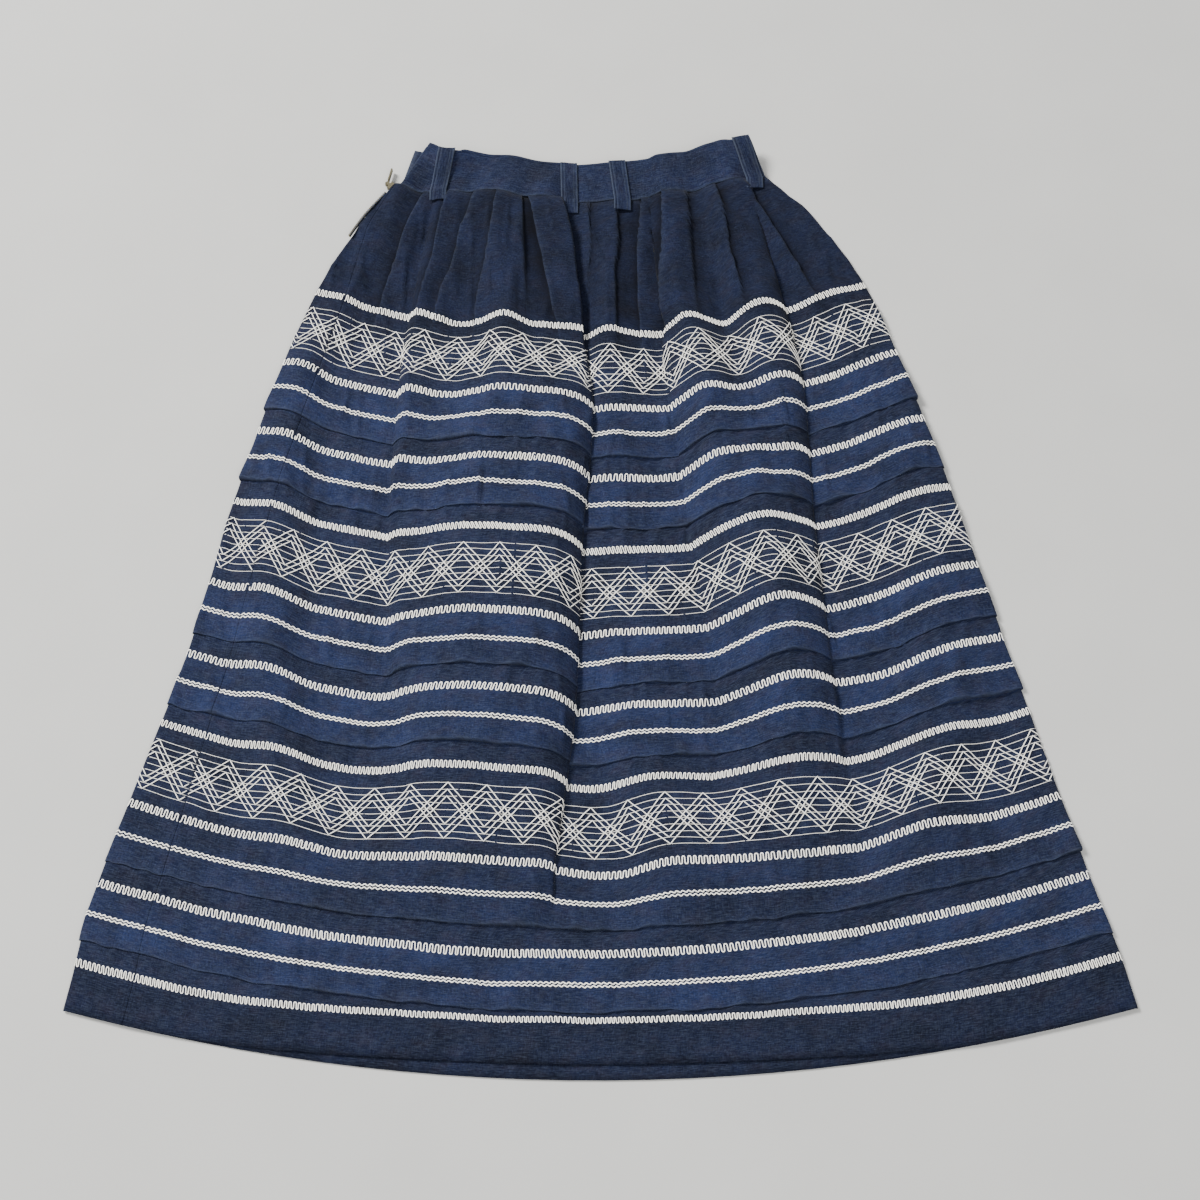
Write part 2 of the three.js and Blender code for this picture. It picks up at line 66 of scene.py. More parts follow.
# The cloth beside the side seam: distances from it, how far it is drawn down there, and the
# distance where the even columns start
SEAM_COLUMNS = (0.0, 0.5, 1.1)
SEAM_DIP = (0.22, 0.1, 0.0)
SEAM_NEXT = 2.2
# The top face's height where nothing folds, and how far a fold's height draws its rows up
LAYER = 3.3
SLIP = 0.6
# Directions of the points round a fold at the outline, from its top to the floor
RIM_DEGREES = np.array((55, 25, 0, -30, -60, -90))

# The outline of each row of the cloth, given by its distance below the waist seam, how far its
# middle hangs below its ends, and how much of the back wraps round to the front on the left
EDGES = {
    "row": (0, 40, 128, 202, 334, 474, 614, 700, 746, 780),
    "left_x": (-184, -211, -248, -272, -306, -334, -370, -393, -399, -405),
    "left_y": (366, 333, 261, 190, 64, -70, -194, -276, -318, -354),
    "right_x": (150, 187, 232, 256, 293, 327, 362, 384, 397, 406),
    "right_y": (375, 341, 268, 199, 74, -57, -188, -270, -313, -352),
    "sag": (20, 33, 49, 51, 53, 58, 61, 58, 57, 52),
    "strip": (2, 8, 26, 31, 34, 34, 42, 46, 46, 46),
}

# The large folds: the crest's x and height at these rows, each flank's reach at the hip and low
# down, its fullness, and how far it leans over
FOLD_ROWS = (0, 128, 202, 334, 474, 614)
HIP_ROW, LOW_ROW = 128, 614
FOLDS = {
    "left_rim": {"x": (-178, -222, -254, -268, -268, -240), "high": (5, 3, 7, 7, 8, 5),
                 "left": (22, 42), "right": (18, 48), "full": (1, 1)},
    "left_step": {"x": (-140, -157, -161, -163, -152, -130), "high": (4, 7, 9, 6, 3, 1),
                  "left": (7, 15), "right": (60, 80), "full": (1.6, 1), "lean": (3, 0)},
    "hip_ridge": {"x": (-92, -82, -82, -82, -82, -82), "high": (4, 8, 1, 0, 0, 0),
                  "left": (26, 30), "right": (26, 30), "full": (1, 1)},
    "main_left": {"x": (-90, -80, -70, -78, -82, -97), "high": (5, 11, 20, 22, 22, 13),
                  "left": (48, 118), "right": (61, 61), "full": (1.3, 2.6), "lean": (0, 13)},
    "centre_lip": {"x": (-45, -24, -22, -22, -22, -22), "high": (2, 5, 1, 0, 0, 0),
                   "left": (20, 24), "right": (12, 16), "full": (1, 1.4)},
    "low_lip": {"x": (-40, -40, -40, -40, -40, -42), "high": (0, 0, 0, 0, 0, 6),
                "left": (30, 30), "right": (40, 40), "full": (1, 1)},
    "centre_hump": {"x": (4, 5, 8, 8, 20, 60), "high": (1, 8, 5, 2, 3, 5),
                    "left": (20, 50), "right": (40, 70), "full": (1, 1)},
    "right_crest": {"x": (56, 73, 92, 118, 146, 135), "high": (5, 15, 17, 18, 13, 5),
                    "left": (12, 60), "right": (40, 60), "full": (1.3, 1), "lean": (5, 0)},
    "right_second": {"x": (108, 135, 147, 152, 162, 178), "high": (6, 14, 14, 10.5, 6.5, 3),
                     "left": (30, 55), "right": (24, 26), "full": (1, 2.0), "lean": (0, 6)},
    "right_rim": {"x": (140, 200, 238, 262, 278, 252), "high": (3, 4, 4, 7, 8, 11),
                  "left": (34, 64), "right": (30, 60), "full": (1, 1)},
    "low_swell": {"x": (40, 40, 40, 40, 40, 60), "high": (0, 0, 0, 0, 5, 8),
                  "left": (50, 50), "right": (110, 120), "full": (1, 1)},
}
# Rows where the folds end
FOLD_FADE = (600, 690)
# A leaning wall stands over between these shares of its flank, and less where the fold is low
OVERHANG = {"from": 0.35, "rise": 0.45, "to": 0.86, "fall": 0.14, "high": 9, "less": 0.3}
# The front hem is drawn up in the middle, and the back one shows below it
HEM_LIFT = {"from": 726, "to": 746, "high": 11.5, "middle": -10, "reach": 340, "full": 1.4}

# Knife pleats: lip at the waist and at the hip, run, height, and the side that the lip drops to
PLEATS = (
    {"waist": -153, "hip": -200, "run": 165, "high": 5.0, "side": -1},
    {"waist": -133, "hip": -161, "run": 160, "high": 3.6, "side": -1},
    {"waist": -109, "hip": -148, "run": 160, "high": 3.4, "side": -1},
    {"waist": -89, "hip": -110, "run": 165, "high": 3.6, "side": -1},
    {"waist": -70, "hip": -66, "run": 110, "high": 2.6, "side": 1},
    {"waist": -62, "hip": -38, "run": 165, "high": 4.4, "side": -1},
    {"waist": -42, "hip": -17, "run": 160, "high": 4.5, "side": 1},
    {"waist": -10, "hip": -11, "run": 110, "high": 2.6, "side": 1},
    {"waist": 15, "hip": 12, "run": 165, "high": 3.5, "side": 1},
    {"waist": 39, "hip": 35, "run": 165, "high": 5.0, "side": -1},
    {"waist": 57, "hip": 60, "run": 160, "high": 4.6, "side": -1},
    {"waist": 76, "hip": 84, "run": 140, "high": 3.0, "side": 1},
    {"waist": 101, "hip": 128, "run": 150, "high": 4.0, "side": 1},
    {"waist": 124, "hip": 196, "run": 150, "high": 4.0, "side": 1},
)
# How far a lip takes to drop, and the cloth behind it to level out
PLEAT_LIP = 1.5
PLEAT_REACH = 17.0
# The curve of a lip's line, how far it sways, and how far the lip leans over by its side
PLEAT_BEND = 0.8
PLEAT_SWAY = 2.2
PLEAT_LEAN = {-1: 3.2, 1: 1.4}
# A lip leans within this share of its drop and this far behind it, and by all if it is this high
PLEAT_OVER = {"drop": 0.6, "behind": 7.0, "high": 4.0}
# Share of a pleat's height that is left once it is pressed
PLEAT_SHARE = 0.85
# Painted shade under a lip: the pleat's height that has all of it, and its reach
PLEAT_SHADE = {"high": 2.8, "reach": 5.5}

# Sewn tucks: each runs from its stitched row to its fold, and stands a little over the next row
TUCKS = ((202, 248), (268, 314), (408, 454), (474, 520), (614, 660), (680, 726))
# How blue each is, how high it stands over the cloth below, and how far it takes to rise
TUCK_BLUE = (1, 1, 0.9, 0.9, 0.35, 0.8)
TUCK_STEP = 1.4
TUCK_RAMP = 10.0
# The waves of a tuck's loose fold: their height, sideways sway and length
TUCK_FLUTTER = {"high": 2.3, "sway": 2.2, "long": 22.0}
# How far a loose fold stands out past the outline
TUCK_FLARE = 1.5
# How far below its seam a tuck is held flat, for its waves and for its flare
TUCK_HELD = {"flutter": 14, "flare": 10}
# Rows and lifts round a tuck's fold, from its top face, round the lip and back under it
TUCK_LIP = ((-2.2, 1.0), (-0.7, 1.02), (-0.1, 0.97), (0.3, 0.8), (0.45, 0.52), (0.25, 0.2),
            (-0.5, 0.05), (0.7, 0.0), (2.4, 0.0))

# Height of the cloth's ripples: ones that run through, ones of each strip, and its creases and
# how narrow these are, and the share that a lattice's many lines leave of them
PUCKER = {"through": 1.25, "own": 1.05, "crease": 2.2, "narrow": 6.5, "on_lattice": 0.55}
# Their layers of noise: length across and down the cloth, shift from strip to strip, share and
# seed; the last kind sways the rows
RIPPLES = {
    "through": ((24, 90, 0, 1.0, 1), (10, 45, 0, 0.5, 2)),
    "own": ((13, 60, 7.3, 1.0, 3), (6, 35, 3.1, 0.6, 4)),
    "crease": ((15, 70, 5.7, 1.0, 5),),
    "sway": ((38, 40, 0, 0.7, 6), (11, 12, 0, 0.3, 7)),
}

# How blue the cloth is between the tucks, how much more in the yoke, and where that ends
BLUE = {"between": 0.1, "yoke": 0.7, "end": 115, "over": 25}
# Its tone: painted shade in the yoke, how much lighter below it, and what the hem loses of that
TONE_AND_SHADE = {"yoke": -0.1, "more": 1.1, "from": 120, "over": 60}
HEM_TONE = {"less": 0.545, "from": 740, "over": 12}

# Embroidered rows
TALL_BRAIDS = (202, 268, 408, 474, 614, 680)
SHORT_BRAIDS = (128, 334, 540, 746)
WAVES = (227, 293, 433, 499, 639, 705)
LATTICES = ((143.5, 188.0), (349.5, 394.0), (555.5, 600.0))
LATTICE_LEVELS = 9
LATTICE_PITCH = 30.8
WAVE = {"pitch": 4.45, "apart": 2.4, "high": 1.2}
# Serpentine stitches: pitch, height and slant, and the seed of their wander
TALL_STITCH = {"pitch": 4.35, "high": 6.0, "slant": 0.0, "seed": 20}
SHORT_STITCH = {"pitch": 3.5, "high": 5.6, "slant": 0.03, "seed": 30}
# How far a stitch's turns are squeezed together, and how square they are
BRAID_SQUEEZE = 0.97
BRAID_SQUARE = 1.7
# A thread's height as a share of its width, once it is stitched down, how far up its radius
# its middle lies, and how far it is held off the cloth
THREAD_FLAT = 0.6
THREAD_SEAT = 0.4
THREAD_CLEAR = 0.12
# Threads end this far from a seam
END_GAP = 0.3

# Waistband: x at its top edge, and how high the front half's top edge stands
BAND_FRONT = {"top_left": -152, "top_right": 133}
BAND_BACK = {"top_left": -167, "top_right": 130, "rise": 36, "corner": 6}
BAND_TOP = {"x": (-150, -128, -100, -70, -38, 0, 50, 100, 133),
            "z": (18, 20, 12.5, 10.5, 7, 9, 11, 15, 19)}
BAND_LEFT, BAND_RIGHT = -178.0, 148.35
# Its stitched lines, down from its top edge, the mesh's rows across one, and its round edges
BAND_SEAMS = (3.5, 35.2)
BAND_STEPS = (-0.8, -0.4, 0.0, 0.4, 0.8)
BAND_ROUND = 1.4

# Belt loops: x at the top and low end of each, their size, how far they clear the band, and
# where their edge stitching and the wear beside it run
LOOPS = ({"top": -136, "low": -144}, {"top": -28, "low": -27}, {"top": 15, "low": 20},
         {"top": 125, "low": 138})
LOOP = {"width": 15.0, "long": 47.0, "clear": 0.45, "thick": 1.3, "round": 0.8, "stitch": 2.4,
        "worn": 3.1}
LOOP_STEPS = (-0.7, -0.35, 0.0, 0.35, 0.7)
# Where the bands and loops are cut from the weave, so that it doesn't repeat the panels'
BAND_CUT, LOOP_CUT = 900, 950

# The zip's rows, how far its teeth stand out from the fold, and how high
ZIP = {"from": 9.5, "to": 59.5, "out": 1.05, "middle": 4.5, "teeth": 26}
# A tooth across the tape, along it, and down its outer side, and its bevel, in metres
TOOTH = (0.0018, 0.0011, 0.0026)
TOOTH_BEVEL = 0.00022

# Soft lights: place and size in metres, and power in watts
LIGHTS = {"window": {"place": (-2.7, 1.9, 3.0), "size": 1.4, "power": 480},
          "ceiling": {"place": (0.5, -1.6, 2.5), "size": 2.0, "power": 75}}
# The camera's x and y in metres; it leans forward from there
CAMERA_FOOT = (-0.0005, -0.51993)


# Curves and surfaces

def through(t, xs, ys):
    """Smooth values at t through a column of a table (Catmull-Rom)."""
    xs, ys = np.asarray(xs, float), np.asarray(ys, float)
    t = np.clip(t, xs[0], xs[-1])
    slopes = np.empty_like(ys)
    slopes[1:-1] = (ys[2:] - ys[:-2]) / (xs[2:] - xs[:-2])
    slopes[0] = (ys[1] - ys[0]) / (xs[1] - xs[0])
    slopes[-1] = (ys[-1] - ys[-2]) / (xs[-1] - xs[-2])
    i = np.clip(np.searchsorted(xs, t, side="right") - 1, 0, len(xs) - 2)
    h = xs[i + 1] - xs[i]
    s = (t - xs[i]) / h
    q = 1 - s
    start = (1 + 2 * s) * q * q * ys[i] + s * q * q * h * slopes[i]
    end = s * s * (3 - 2 * s) * ys[i + 1] - s * s * q * h * slopes[i + 1]
    return start + end


def smooth(t):
    """0 below 0, 1 above 1, and an even rise between."""
    s = np.clip(t, 0, 1)
    return s * s * (3 - 2 * s)


def flank(t, full):
    """One side of a fold: 1 on the crest, 0 at its foot."""
    return 0.5 + 0.5 * np.cos(np.pi * np.clip(t, 0, 1) ** full)


def edge(row, column):
    """A column of the outline's table at any row."""
    return through(row, EDGES["row"], EDGES[column])


def chance(i, j, seed):
    """A repeatable number from -1 to 1 for each whole i and j."""
    h = np.sin(i * 127.1 + j * 311.7 + seed * 74.7) * 43758.5453
    return 2 * (h - np.floor(h)) - 1


def noise(x, y, seed):
    """Smooth random heights from -1 to 1 over a plane with a lattice of one unit."""
    x, y = np.broadcast_arrays(np.asarray(x, float), np.asarray(y, float))
    i, j = np.floor(x), np.floor(y)
    sx, sy = smooth(x - i), smooth(y - j)
    low = chance(i, j, seed) * (1 - sx) + chance(i + 1, j, seed) * sx
    high = chance(i, j + 1, seed) * (1 - sx) + chance(i + 1, j + 1, seed) * sx
    return low * (1 - sy) + high * sy


def ripple(kind, x, row, strip=0):
    """A sum of layers of noise over the cloth."""
    return sum(share * noise(x / across, row / down + shift * strip, seed)
               for across, down, shift, share, seed in RIPPLES[kind])


def fold_form(x, row):
    """Height of the large folds, and how far their steep walls lean over sideways."""
    low = np.sqrt(np.clip((row - HIP_ROW) / (LOW_ROW - HIP_ROW), 0, 1))
    fade = 1 - smooth((row - FOLD_FADE[0]) / (FOLD_FADE[1] - FOLD_FADE[0]))
    z = np.zeros(np.broadcast(x, row).shape)
    lean = np.zeros_like(z)
    for fold in FOLDS.values():
        crest = through(row, FOLD_ROWS, fold["x"])
        high = np.maximum(0, through(row, FOLD_ROWS, fold["high"])) * fade
        for number, (side, away) in enumerate((("left", -1), ("right", 1))):
            hip, knee = fold[side]
            t = away * (x - crest) / (hip + (knee - hip) * low)
            share = np.where(t >= 0, flank(t, fold["full"][number]), 0)
            z += np.where((t == 0) & (away < 0), 0, high * share)
            most = fold.get("lean", (0, 0))[number]
            over = smooth((t - OVERHANG["from"]) / OVERHANG["rise"])
            over = over * (1 - smooth((t - OVERHANG["to"]) / OVERHANG["fall"]))
            tall = np.clip(high / OVERHANG["high"], 0, 1)
            lean += away * most * over * tall * (1 - OVERHANG["less"] * low)
    return z, lean


def fold_height(x, row):
    """Height of the large folds alone."""
    return fold_form(x, row)[0]


def lips(x, row):
    """Each pleat, how far x is past its lip on the side that drops, and how much is left of it."""
    for pleat in PLEATS:
        t = np.clip(row / pleat["run"], 0, 1)
        lip = pleat["waist"] + (pleat["hip"] - pleat["waist"]) * t ** PLEAT_BEND
        bend = PLEAT_SWAY * noise(row / 34, pleat["waist"] / 9, 15) * smooth(row / 30)
        yield pleat, (x - lip - bend) * pleat["side"], 1 - smooth(t**3)


def pleat_wear(x, row):
    """A little wear along the pleats' lips."""
    wear = np.zeros(np.broadcast(x, row).shape)
    for _, away, fade in lips(x, row):
        wear += 0.2 * fade * np.exp(-((away + 0.3) / 1.1) ** 2)
    return wear


def pleat_shade(x, row):
    """1 under the pleats' lips, where painted shade darkens the cloth, and 0 away from them."""
    shade = np.zeros(np.broadcast(x, row).shape)
    for pleat, away, fade in lips(x, row):
        deep = pleat["high"] / PLEAT_SHADE["high"] * fade * smooth(away / 0.8)
        shade += deep * np.exp(-np.maximum(away, 0) / PLEAT_SHADE["reach"])
    return np.clip(shade, 0, 1)


def pleat_form(x, row):
    """Height of the knife pleats, and how far their lips lean over sideways."""
    z = np.zeros(np.broadcast(x, row).shape)
    lean = np.zeros_like(z)
    for pleat, away, fade in lips(x, row):
        shape = np.where(away > 0, 1 - smooth(away / PLEAT_LIP), 1 - smooth(-away / PLEAT_REACH))
        z += PLEAT_SHARE * pleat["high"] * fade * shape
        over = np.where(away > 0, 1 - smooth(away / (PLEAT_LIP * PLEAT_OVER["drop"])),
                        1 - smooth(-away / PLEAT_OVER["behind"]))
        most = PLEAT_LEAN[pleat["side"]] * pleat["side"] * pleat["high"] / PLEAT_OVER["high"]
        lean += most * fade * over
    return z, lean


def flat_y(x, row):
    """Where a point of the cloth would lie with no fold in it."""
    left_x, right_x = edge(row, "left_x"), edge(row, "right_x")
    left_y, right_y = edge(row, "left_y"), edge(row, "right_y")
    across = (2 * x - left_x - right_x) / (right_x - left_x)
    chord = (left_y + right_y) / 2 + (right_y - left_y) / 2 * across
    return chord - edge(row, "sag") * (1 - across**2)


def hem_lift(x, row):
    """How far the front hem is drawn up from the back one."""
    reach = np.abs(x - HEM_LIFT["middle"]) / HEM_LIFT["reach"]
    rise = smooth((row - HEM_LIFT["from"]) / (HEM_LIFT["to"] - HEM_LIFT["from"]))
    return HEM_LIFT["high"] * rise * flank(reach, HEM_LIFT["full"])


# The cloth's rows: stitched lines hold it flat and it puckers between them
HELD_ROWS = np.array(sorted({0, 60, SKIRT_LENGTH, *SHORT_BRAIDS, *TALL_BRAIDS,
                             *(fold for _, fold in TUCKS)}), float)


def pucker(x, row):
    """Small ripples that run down the cloth, with others in each strip between stitched rows."""
    strip = np.clip(np.searchsorted(HELD_ROWS, row, side="right") - 1, 0, len(HELD_ROWS) - 2)
    t = (row - HELD_ROWS[strip]) / (HELD_ROWS[strip + 1] - HELD_ROWS[strip])
    belly = np.sqrt(np.clip(np.sin(np.pi * np.clip(t, 0, 1)), 0, 1))
    own = ripple("own", x, row, strip)
    creases = np.clip(1 - PUCKER["narrow"] * np.abs(ripple("crease", x, row, strip)), 0, 1)
    # Each lattice lies in the strip below a short braid
    free = np.where(np.isin(HELD_ROWS[strip], SHORT_BRAIDS), PUCKER["on_lattice"], 1.0)
    # They are higher up the skirt, and the ones that run through are highest in the yoke
    above = 0.95 + 0.4 * smooth((560 - row) / 300)
    yoke = 0.45 + 0.5 * (1 - smooth((row - 70) / 90))
    between = belly * free * (PUCKER["own"] * own + PUCKER["crease"] * creases)
    return above * (PUCKER["through"] * yoke * ripple("through", x, row) + between)


def looseness(row, lift, kind):
    """Each tuck's fold, and how loose the tuck is: 0 where its seam holds it, 1 at its fold."""
    for sewn, fold in TUCKS:
        held = sewn + TUCK_HELD[kind]
        yield fold, smooth((row - held) / (fold - held)) * (row < fold + 3) * lift


def flutter(x, row, lift):
    """How much a tuck's loose fold stands up and sways: nothing at its seam, most at its fold."""
    high, sway = np.zeros(np.broadcast(x, row).shape), np.zeros(np.broadcast(x, row).shape)
    for fold, loose in looseness(row, lift, "flutter"):
        wave = noise(x / TUCK_FLUTTER["long"], fold / 9, 12) + 0.5 * noise(x / 9, fold / 9, 13)
        high += loose * TUCK_FLUTTER["high"] * np.clip(0.25 + wave, 0, 1.3)
        sway += loose**3 * TUCK_FLUTTER["sway"] * (wave - 0.3)
    return high, sway


def top_surface(x, row, lift):
    """Points of the upper face at x and row, with that share of a tuck's step under them."""
    folds, fold_lean = fold_form(x, row)
    pleats, pleat_lean = pleat_form(x, row)
    high, loose_sway = flutter(x, row, lift)
    ripples = pucker(x, row) * smooth((row + 1) / 30)
    z = LAYER + folds + pleats + ripples + TUCK_STEP * lift + high
    y = flat_y(x, row) + SLIP * folds + hem_lift(x, row)
    y = y + ripple("sway", x, row) * smooth((SKIRT_LENGTH - row) / 20) + loose_sway
    return np.stack(np.broadcast_arrays(x + fold_lean + pleat_lean, y, z), axis=-1)


def flare(row, lift):
    """How far a tuck's loose fold stands out past the outline at the sides."""
    return TUCK_FLARE * sum(loose for _, loose in looseness(row, lift, "flare"))


def sink_seam(points):
    """Draws the first columns of a cloth down into the seam that joins it to the next."""
    for column, depth in enumerate(SEAM_DIP):
        points[:, column, 2] -= depth
    return points


def panel_rows(spacing):
    """Rows of a panel and each one's share of a tuck's step; at a tuck's fold they turn back."""
    rows, lifts = [], []
    starts = [0.0] + [fold + TUCK_LIP[-1][0] for _, fold in TUCKS]
    ends = [fold + TUCK_LIP[0][0] for _, fold in TUCKS] + [SKIRT_LENGTH]
    for k, (start, end) in enumerate(zip(starts, ends)):
        count = max(2, round((end - start) / spacing))
        part = np.linspace(start, end, count + 1)
        first = 0 if k == 0 else 1
        last = len(part) if k == len(TUCKS) else -1
        rows += list(part[first:last])
        sewn = TUCKS[k][0] if k < len(TUCKS) else math.inf
        lifts += list(smooth((part[first:last] - sewn) / TUCK_RAMP))
        if k < len(TUCKS):
            rows += [TUCKS[k][1] + ahead for ahead, _ in TUCK_LIP]
            lifts += [lift for _, lift in TUCK_LIP]
    return np.array(rows)[:, None], np.array(lifts)[:, None]


def even_columns(left, right, rows, count):
    """For each row, x values that are evenly spaced along the folded cloth."""
    fine = np.linspace(0, 1, 1400)
    x = left + (right - left) * fine
    folds, fold_lean = fold_form(x, rows)
    pleats, pleat_lean = pleat_form(x, rows)
    run = np.hypot(np.diff(x + fold_lean + pleat_lean), np.diff(folds + pleats))
    along = np.concatenate([np.zeros((len(rows), 1)), np.cumsum(run, axis=1)], axis=1)
    share = np.linspace(0, 1, count)
    return np.stack([np.interp(share * a[-1], a, line) for a, line in zip(along, x)])


def rim_roll(edge_x, y, top, side, inset):
    """Points round a fold at the outline, from the top layer down to the surface below."""
    angle = np.radians(RIM_DEGREES)[None, :]
    radius = LAYER / 2
    x = edge_x - side * radius + side * (radius - inset) * np.cos(angle)
    z = top / 2 + (top / 2 - inset) * np.sin(angle)
    return np.stack(np.broadcast_arrays(x, y, z), axis=-1)


def face_normals(points):
    """Unit normals of a grid of points whose rows run to the hem and columns to the right."""
    down = np.gradient(points, axis=0)
    across = np.gradient(points, axis=1)
    normal = np.cross(down, across)
    return normal / np.maximum(np.linalg.norm(normal, axis=-1, keepdims=True), 1e-9)


class Laid:
    """A laid cloth's upper face, sampled evenly along each row, for what is sewn on it."""

    def __init__(self, points, rows, samples=1500):
        keep = [0]
        for r in range(1, len(rows)):
            if rows[r, 0] > rows[keep[-1], 0] + 0.05:
                keep.append(r)
        self.rows = rows[keep, 0]
        lines = points[keep]
        share = np.linspace(0, 1, samples)
        even, lengths = [], []
        for line in lines:
            along = np.concatenate([[0], np.cumsum(np.linalg.norm(np.diff(line, axis=0), axis=1))])
            even.append([np.interp(share * along[-1], along, line[:, k]) for k in range(3)])
            lengths.append(along[-1])
        self.points = np.transpose(np.array(even), (0, 2, 1))
        self.lengths = np.array(lengths)
        self.normals = face_normals(self.points)
        self.last = samples - 1

    def width(self, row):
        return float(np.interp(row, self.rows, self.lengths))

    def at(self, share, row):
        """Points and normals at shares of the width from 0 to 1 and at rows."""
        r = np.clip(np.interp(row, self.rows, np.arange(len(self.rows))), 0, len(self.rows) - 1.001)
        c = np.clip(share, 0, 0.9999) * self.last
        i, j = r.astype(int), c.astype(int)
        s, t = (r - i)[:, None], (c - j)[:, None]
        found = []
        for grid in (self.points, self.normals):
            upper = grid[i, j] * (1 - t) + grid[i, j + 1] * t
            lower = grid[i + 1, j] * (1 - t) + grid[i + 1, j + 1] * t
            found.append(upper * (1 - s) + lower * s)
        normal = found[1] / np.linalg.norm(found[1], axis=-1, keepdims=True)
        return found[0], normal


# Meshes

def make_piece(name, points, quads, uv, tones=None):
    """A smooth mesh object from millimetre points and four-cornered faces, at the origin."""
    mesh = bpy.data.meshes.new(name)
    mesh.vertices.add(len(points))
    mesh.vertices.foreach_set("co", ((points - MIDDLE) * MM).astype(np.float32).ravel())
    mesh.loops.add(quads.size)
    mesh.loops.foreach_set("vertex_index", quads.astype(np.int32).ravel())
    mesh.polygons.add(len(quads))
    mesh.polygons.foreach_set("loop_start", np.arange(0, quads.size, 4, dtype=np.int32))
    mesh.polygons.foreach_set("use_smooth", np.ones(len(quads), dtype=bool))
    # Flat coordinates come one for each point, or one for each corner of each face
    flat = (uv * MM).astype(np.float32).reshape(-1, 2)
    flat = flat[quads.ravel()] if len(uv) == len(points) else flat
    mesh.uv_layers.new(name="cloth").data.foreach_set("uv", flat.ravel())
    for key, values in (tones or {}).items():
        attribute = mesh.attributes.new(key, "FLOAT", "POINT")
        attribute.data.foreach_set("value", np.asarray(values, np.float32).ravel())
    mesh.update()
    mesh.validate()
    piece = bpy.data.objects.new(name, mesh)
    bpy.context.scene.collection.objects.link(piece)
    return piece


def grid_quads(rows, columns, start, upward):
    """Faces of a grid of points, turned up or down."""
    r, c = np.meshgrid(np.arange(rows - 1), np.arange(columns - 1), indexing="ij")
    a = start + r * columns + c
    corners = (a, a + columns, a + columns + 1, a + 1)
    if not upward:
        corners = (corners[0], *corners[:0:-1])
    return np.stack(corners, axis=-1).reshape(-1, 4)


def shell_quads(rows, columns):
    """Faces of a closed wall: an upper grid, a lower one and the four edges between them."""
    under = rows * columns
    upper = grid_quads(rows, columns, 0, True)
    lower = grid_quads(rows, columns, under, False)
    left = np.arange(rows - 1) * columns
    right = left + columns - 1
    top = np.arange(columns - 1)
    low = top + (rows - 1) * columns
    sides = [
        (left, left + under, left + columns + under, left + columns),
        (right, right + columns, right + columns + under, right + under),
        (top, top + 1, top + 1 + under, top + under),
        (low, low + under, low + 1 + under, low + 1),
    ]
    return np.concatenate([upper, lower] + [np.stack(side, axis=-1) for side in sides])


def make_shell(name, upper, lower, u, v, tones):
    """A closed cloth wall between two grids of points, with its own flat coordinates."""
    rows, columns = upper.shape[:2]
    points = np.concatenate([upper.reshape(-1, 3), lower.reshape(-1, 3)])
    flat = np.stack(np.broadcast_arrays(u, v), axis=-1).reshape(-1, 2)
    both = {key: np.concatenate([np.broadcast_to(value, (rows, columns)).ravel()] * 2)
            for key, value in tones.items()}
    return make_piece(name, points, shell_quads(rows, columns), np.concatenate([flat, flat]), both)


def thickened(points, thick):
    """The lower face of a cloth, a thickness below the upper one and half square to it."""
    normal = face_normals(points) * (0.5, 0.5, 1)
    normal[..., 2] = np.maximum(normal[..., 2], 0.35)
    normal /= np.linalg.norm(normal, axis=-1, keepdims=True)
    return points - thick * normal


def end_cap(sides):
    """Corners of the four-cornered faces that close a tube of four or six sides."""
    return ((0, 1, 2, 3),) if sides == 4 else ((0, 1, 2, 3), (0, 3, 4, 5))


def make_threads(name, threads, radius, sides):
    """One mesh of closed flattened threads, each along points with normals of the cloth below."""
    all_points, all_quads, all_uv = [], [], []
    start = 0
    turn = np.arange(sides) * 2 * np.pi / sides
    # Round the thread, its flat coordinates run over about its girth
    girth = 6 * radius
    for points, normals in threads:
        count = len(points)
        forward = np.gradient(points, axis=0)
        forward /= np.maximum(np.linalg.norm(forward, axis=1, keepdims=True), 1e-9)
        side = np.cross(forward, normals)
        side /= np.maximum(np.linalg.norm(side, axis=1, keepdims=True), 1e-9)
        up = np.cross(side, forward)
        middle = points + (THREAD_SEAT * radius + THREAD_CLEAR) * normals
        ring = middle[:, None, :] + radius * (
            np.cos(turn)[None, :, None] * side[:, None, :]
            + THREAD_FLAT * np.sin(turn)[None, :, None] * up[:, None, :])
        along = np.concatenate([[0], np.cumsum(np.linalg.norm(np.diff(points, axis=0), axis=1))])
        all_points.append(ring.reshape(-1, 3))
        i, k = np.meshgrid(np.arange(count - 1), np.arange(sides), indexing="ij")
        k_next = (k + 1) % sides
        a = start + i * sides
        walls = np.stack([a + k, a + k_next, a + sides + k_next, a + sides + k], axis=-1)
        all_quads.append(walls.reshape(-1, 4))
        near = np.stack([along[i], girth * k / sides], axis=-1)
        far = np.stack([along[i + 1], girth * k / sides], axis=-1)
        step = np.array((0, girth / sides))
        all_uv.append(np.stack([near, near + step, far + step, far], axis=-2).reshape(-1, 2))
        last = start + (count - 1) * sides
        for corners in end_cap(sides):
            all_quads.append(np.array([[start + spot for spot in reversed(corners)],
                                       [last + spot for spot in corners]]))
            all_uv.append(np.repeat([[0.0, 0.0], [along[-1], 0.0]], 4, axis=0))
        start += count * sides
    points = np.concatenate(all_points)
    quads = np.concatenate(all_quads)
    uv = np.concatenate(all_uv).reshape(-1, 4, 2)[:, ::-1].reshape(-1, 2)
    return make_piece(name, points, quads[:, ::-1], uv)


# Materials

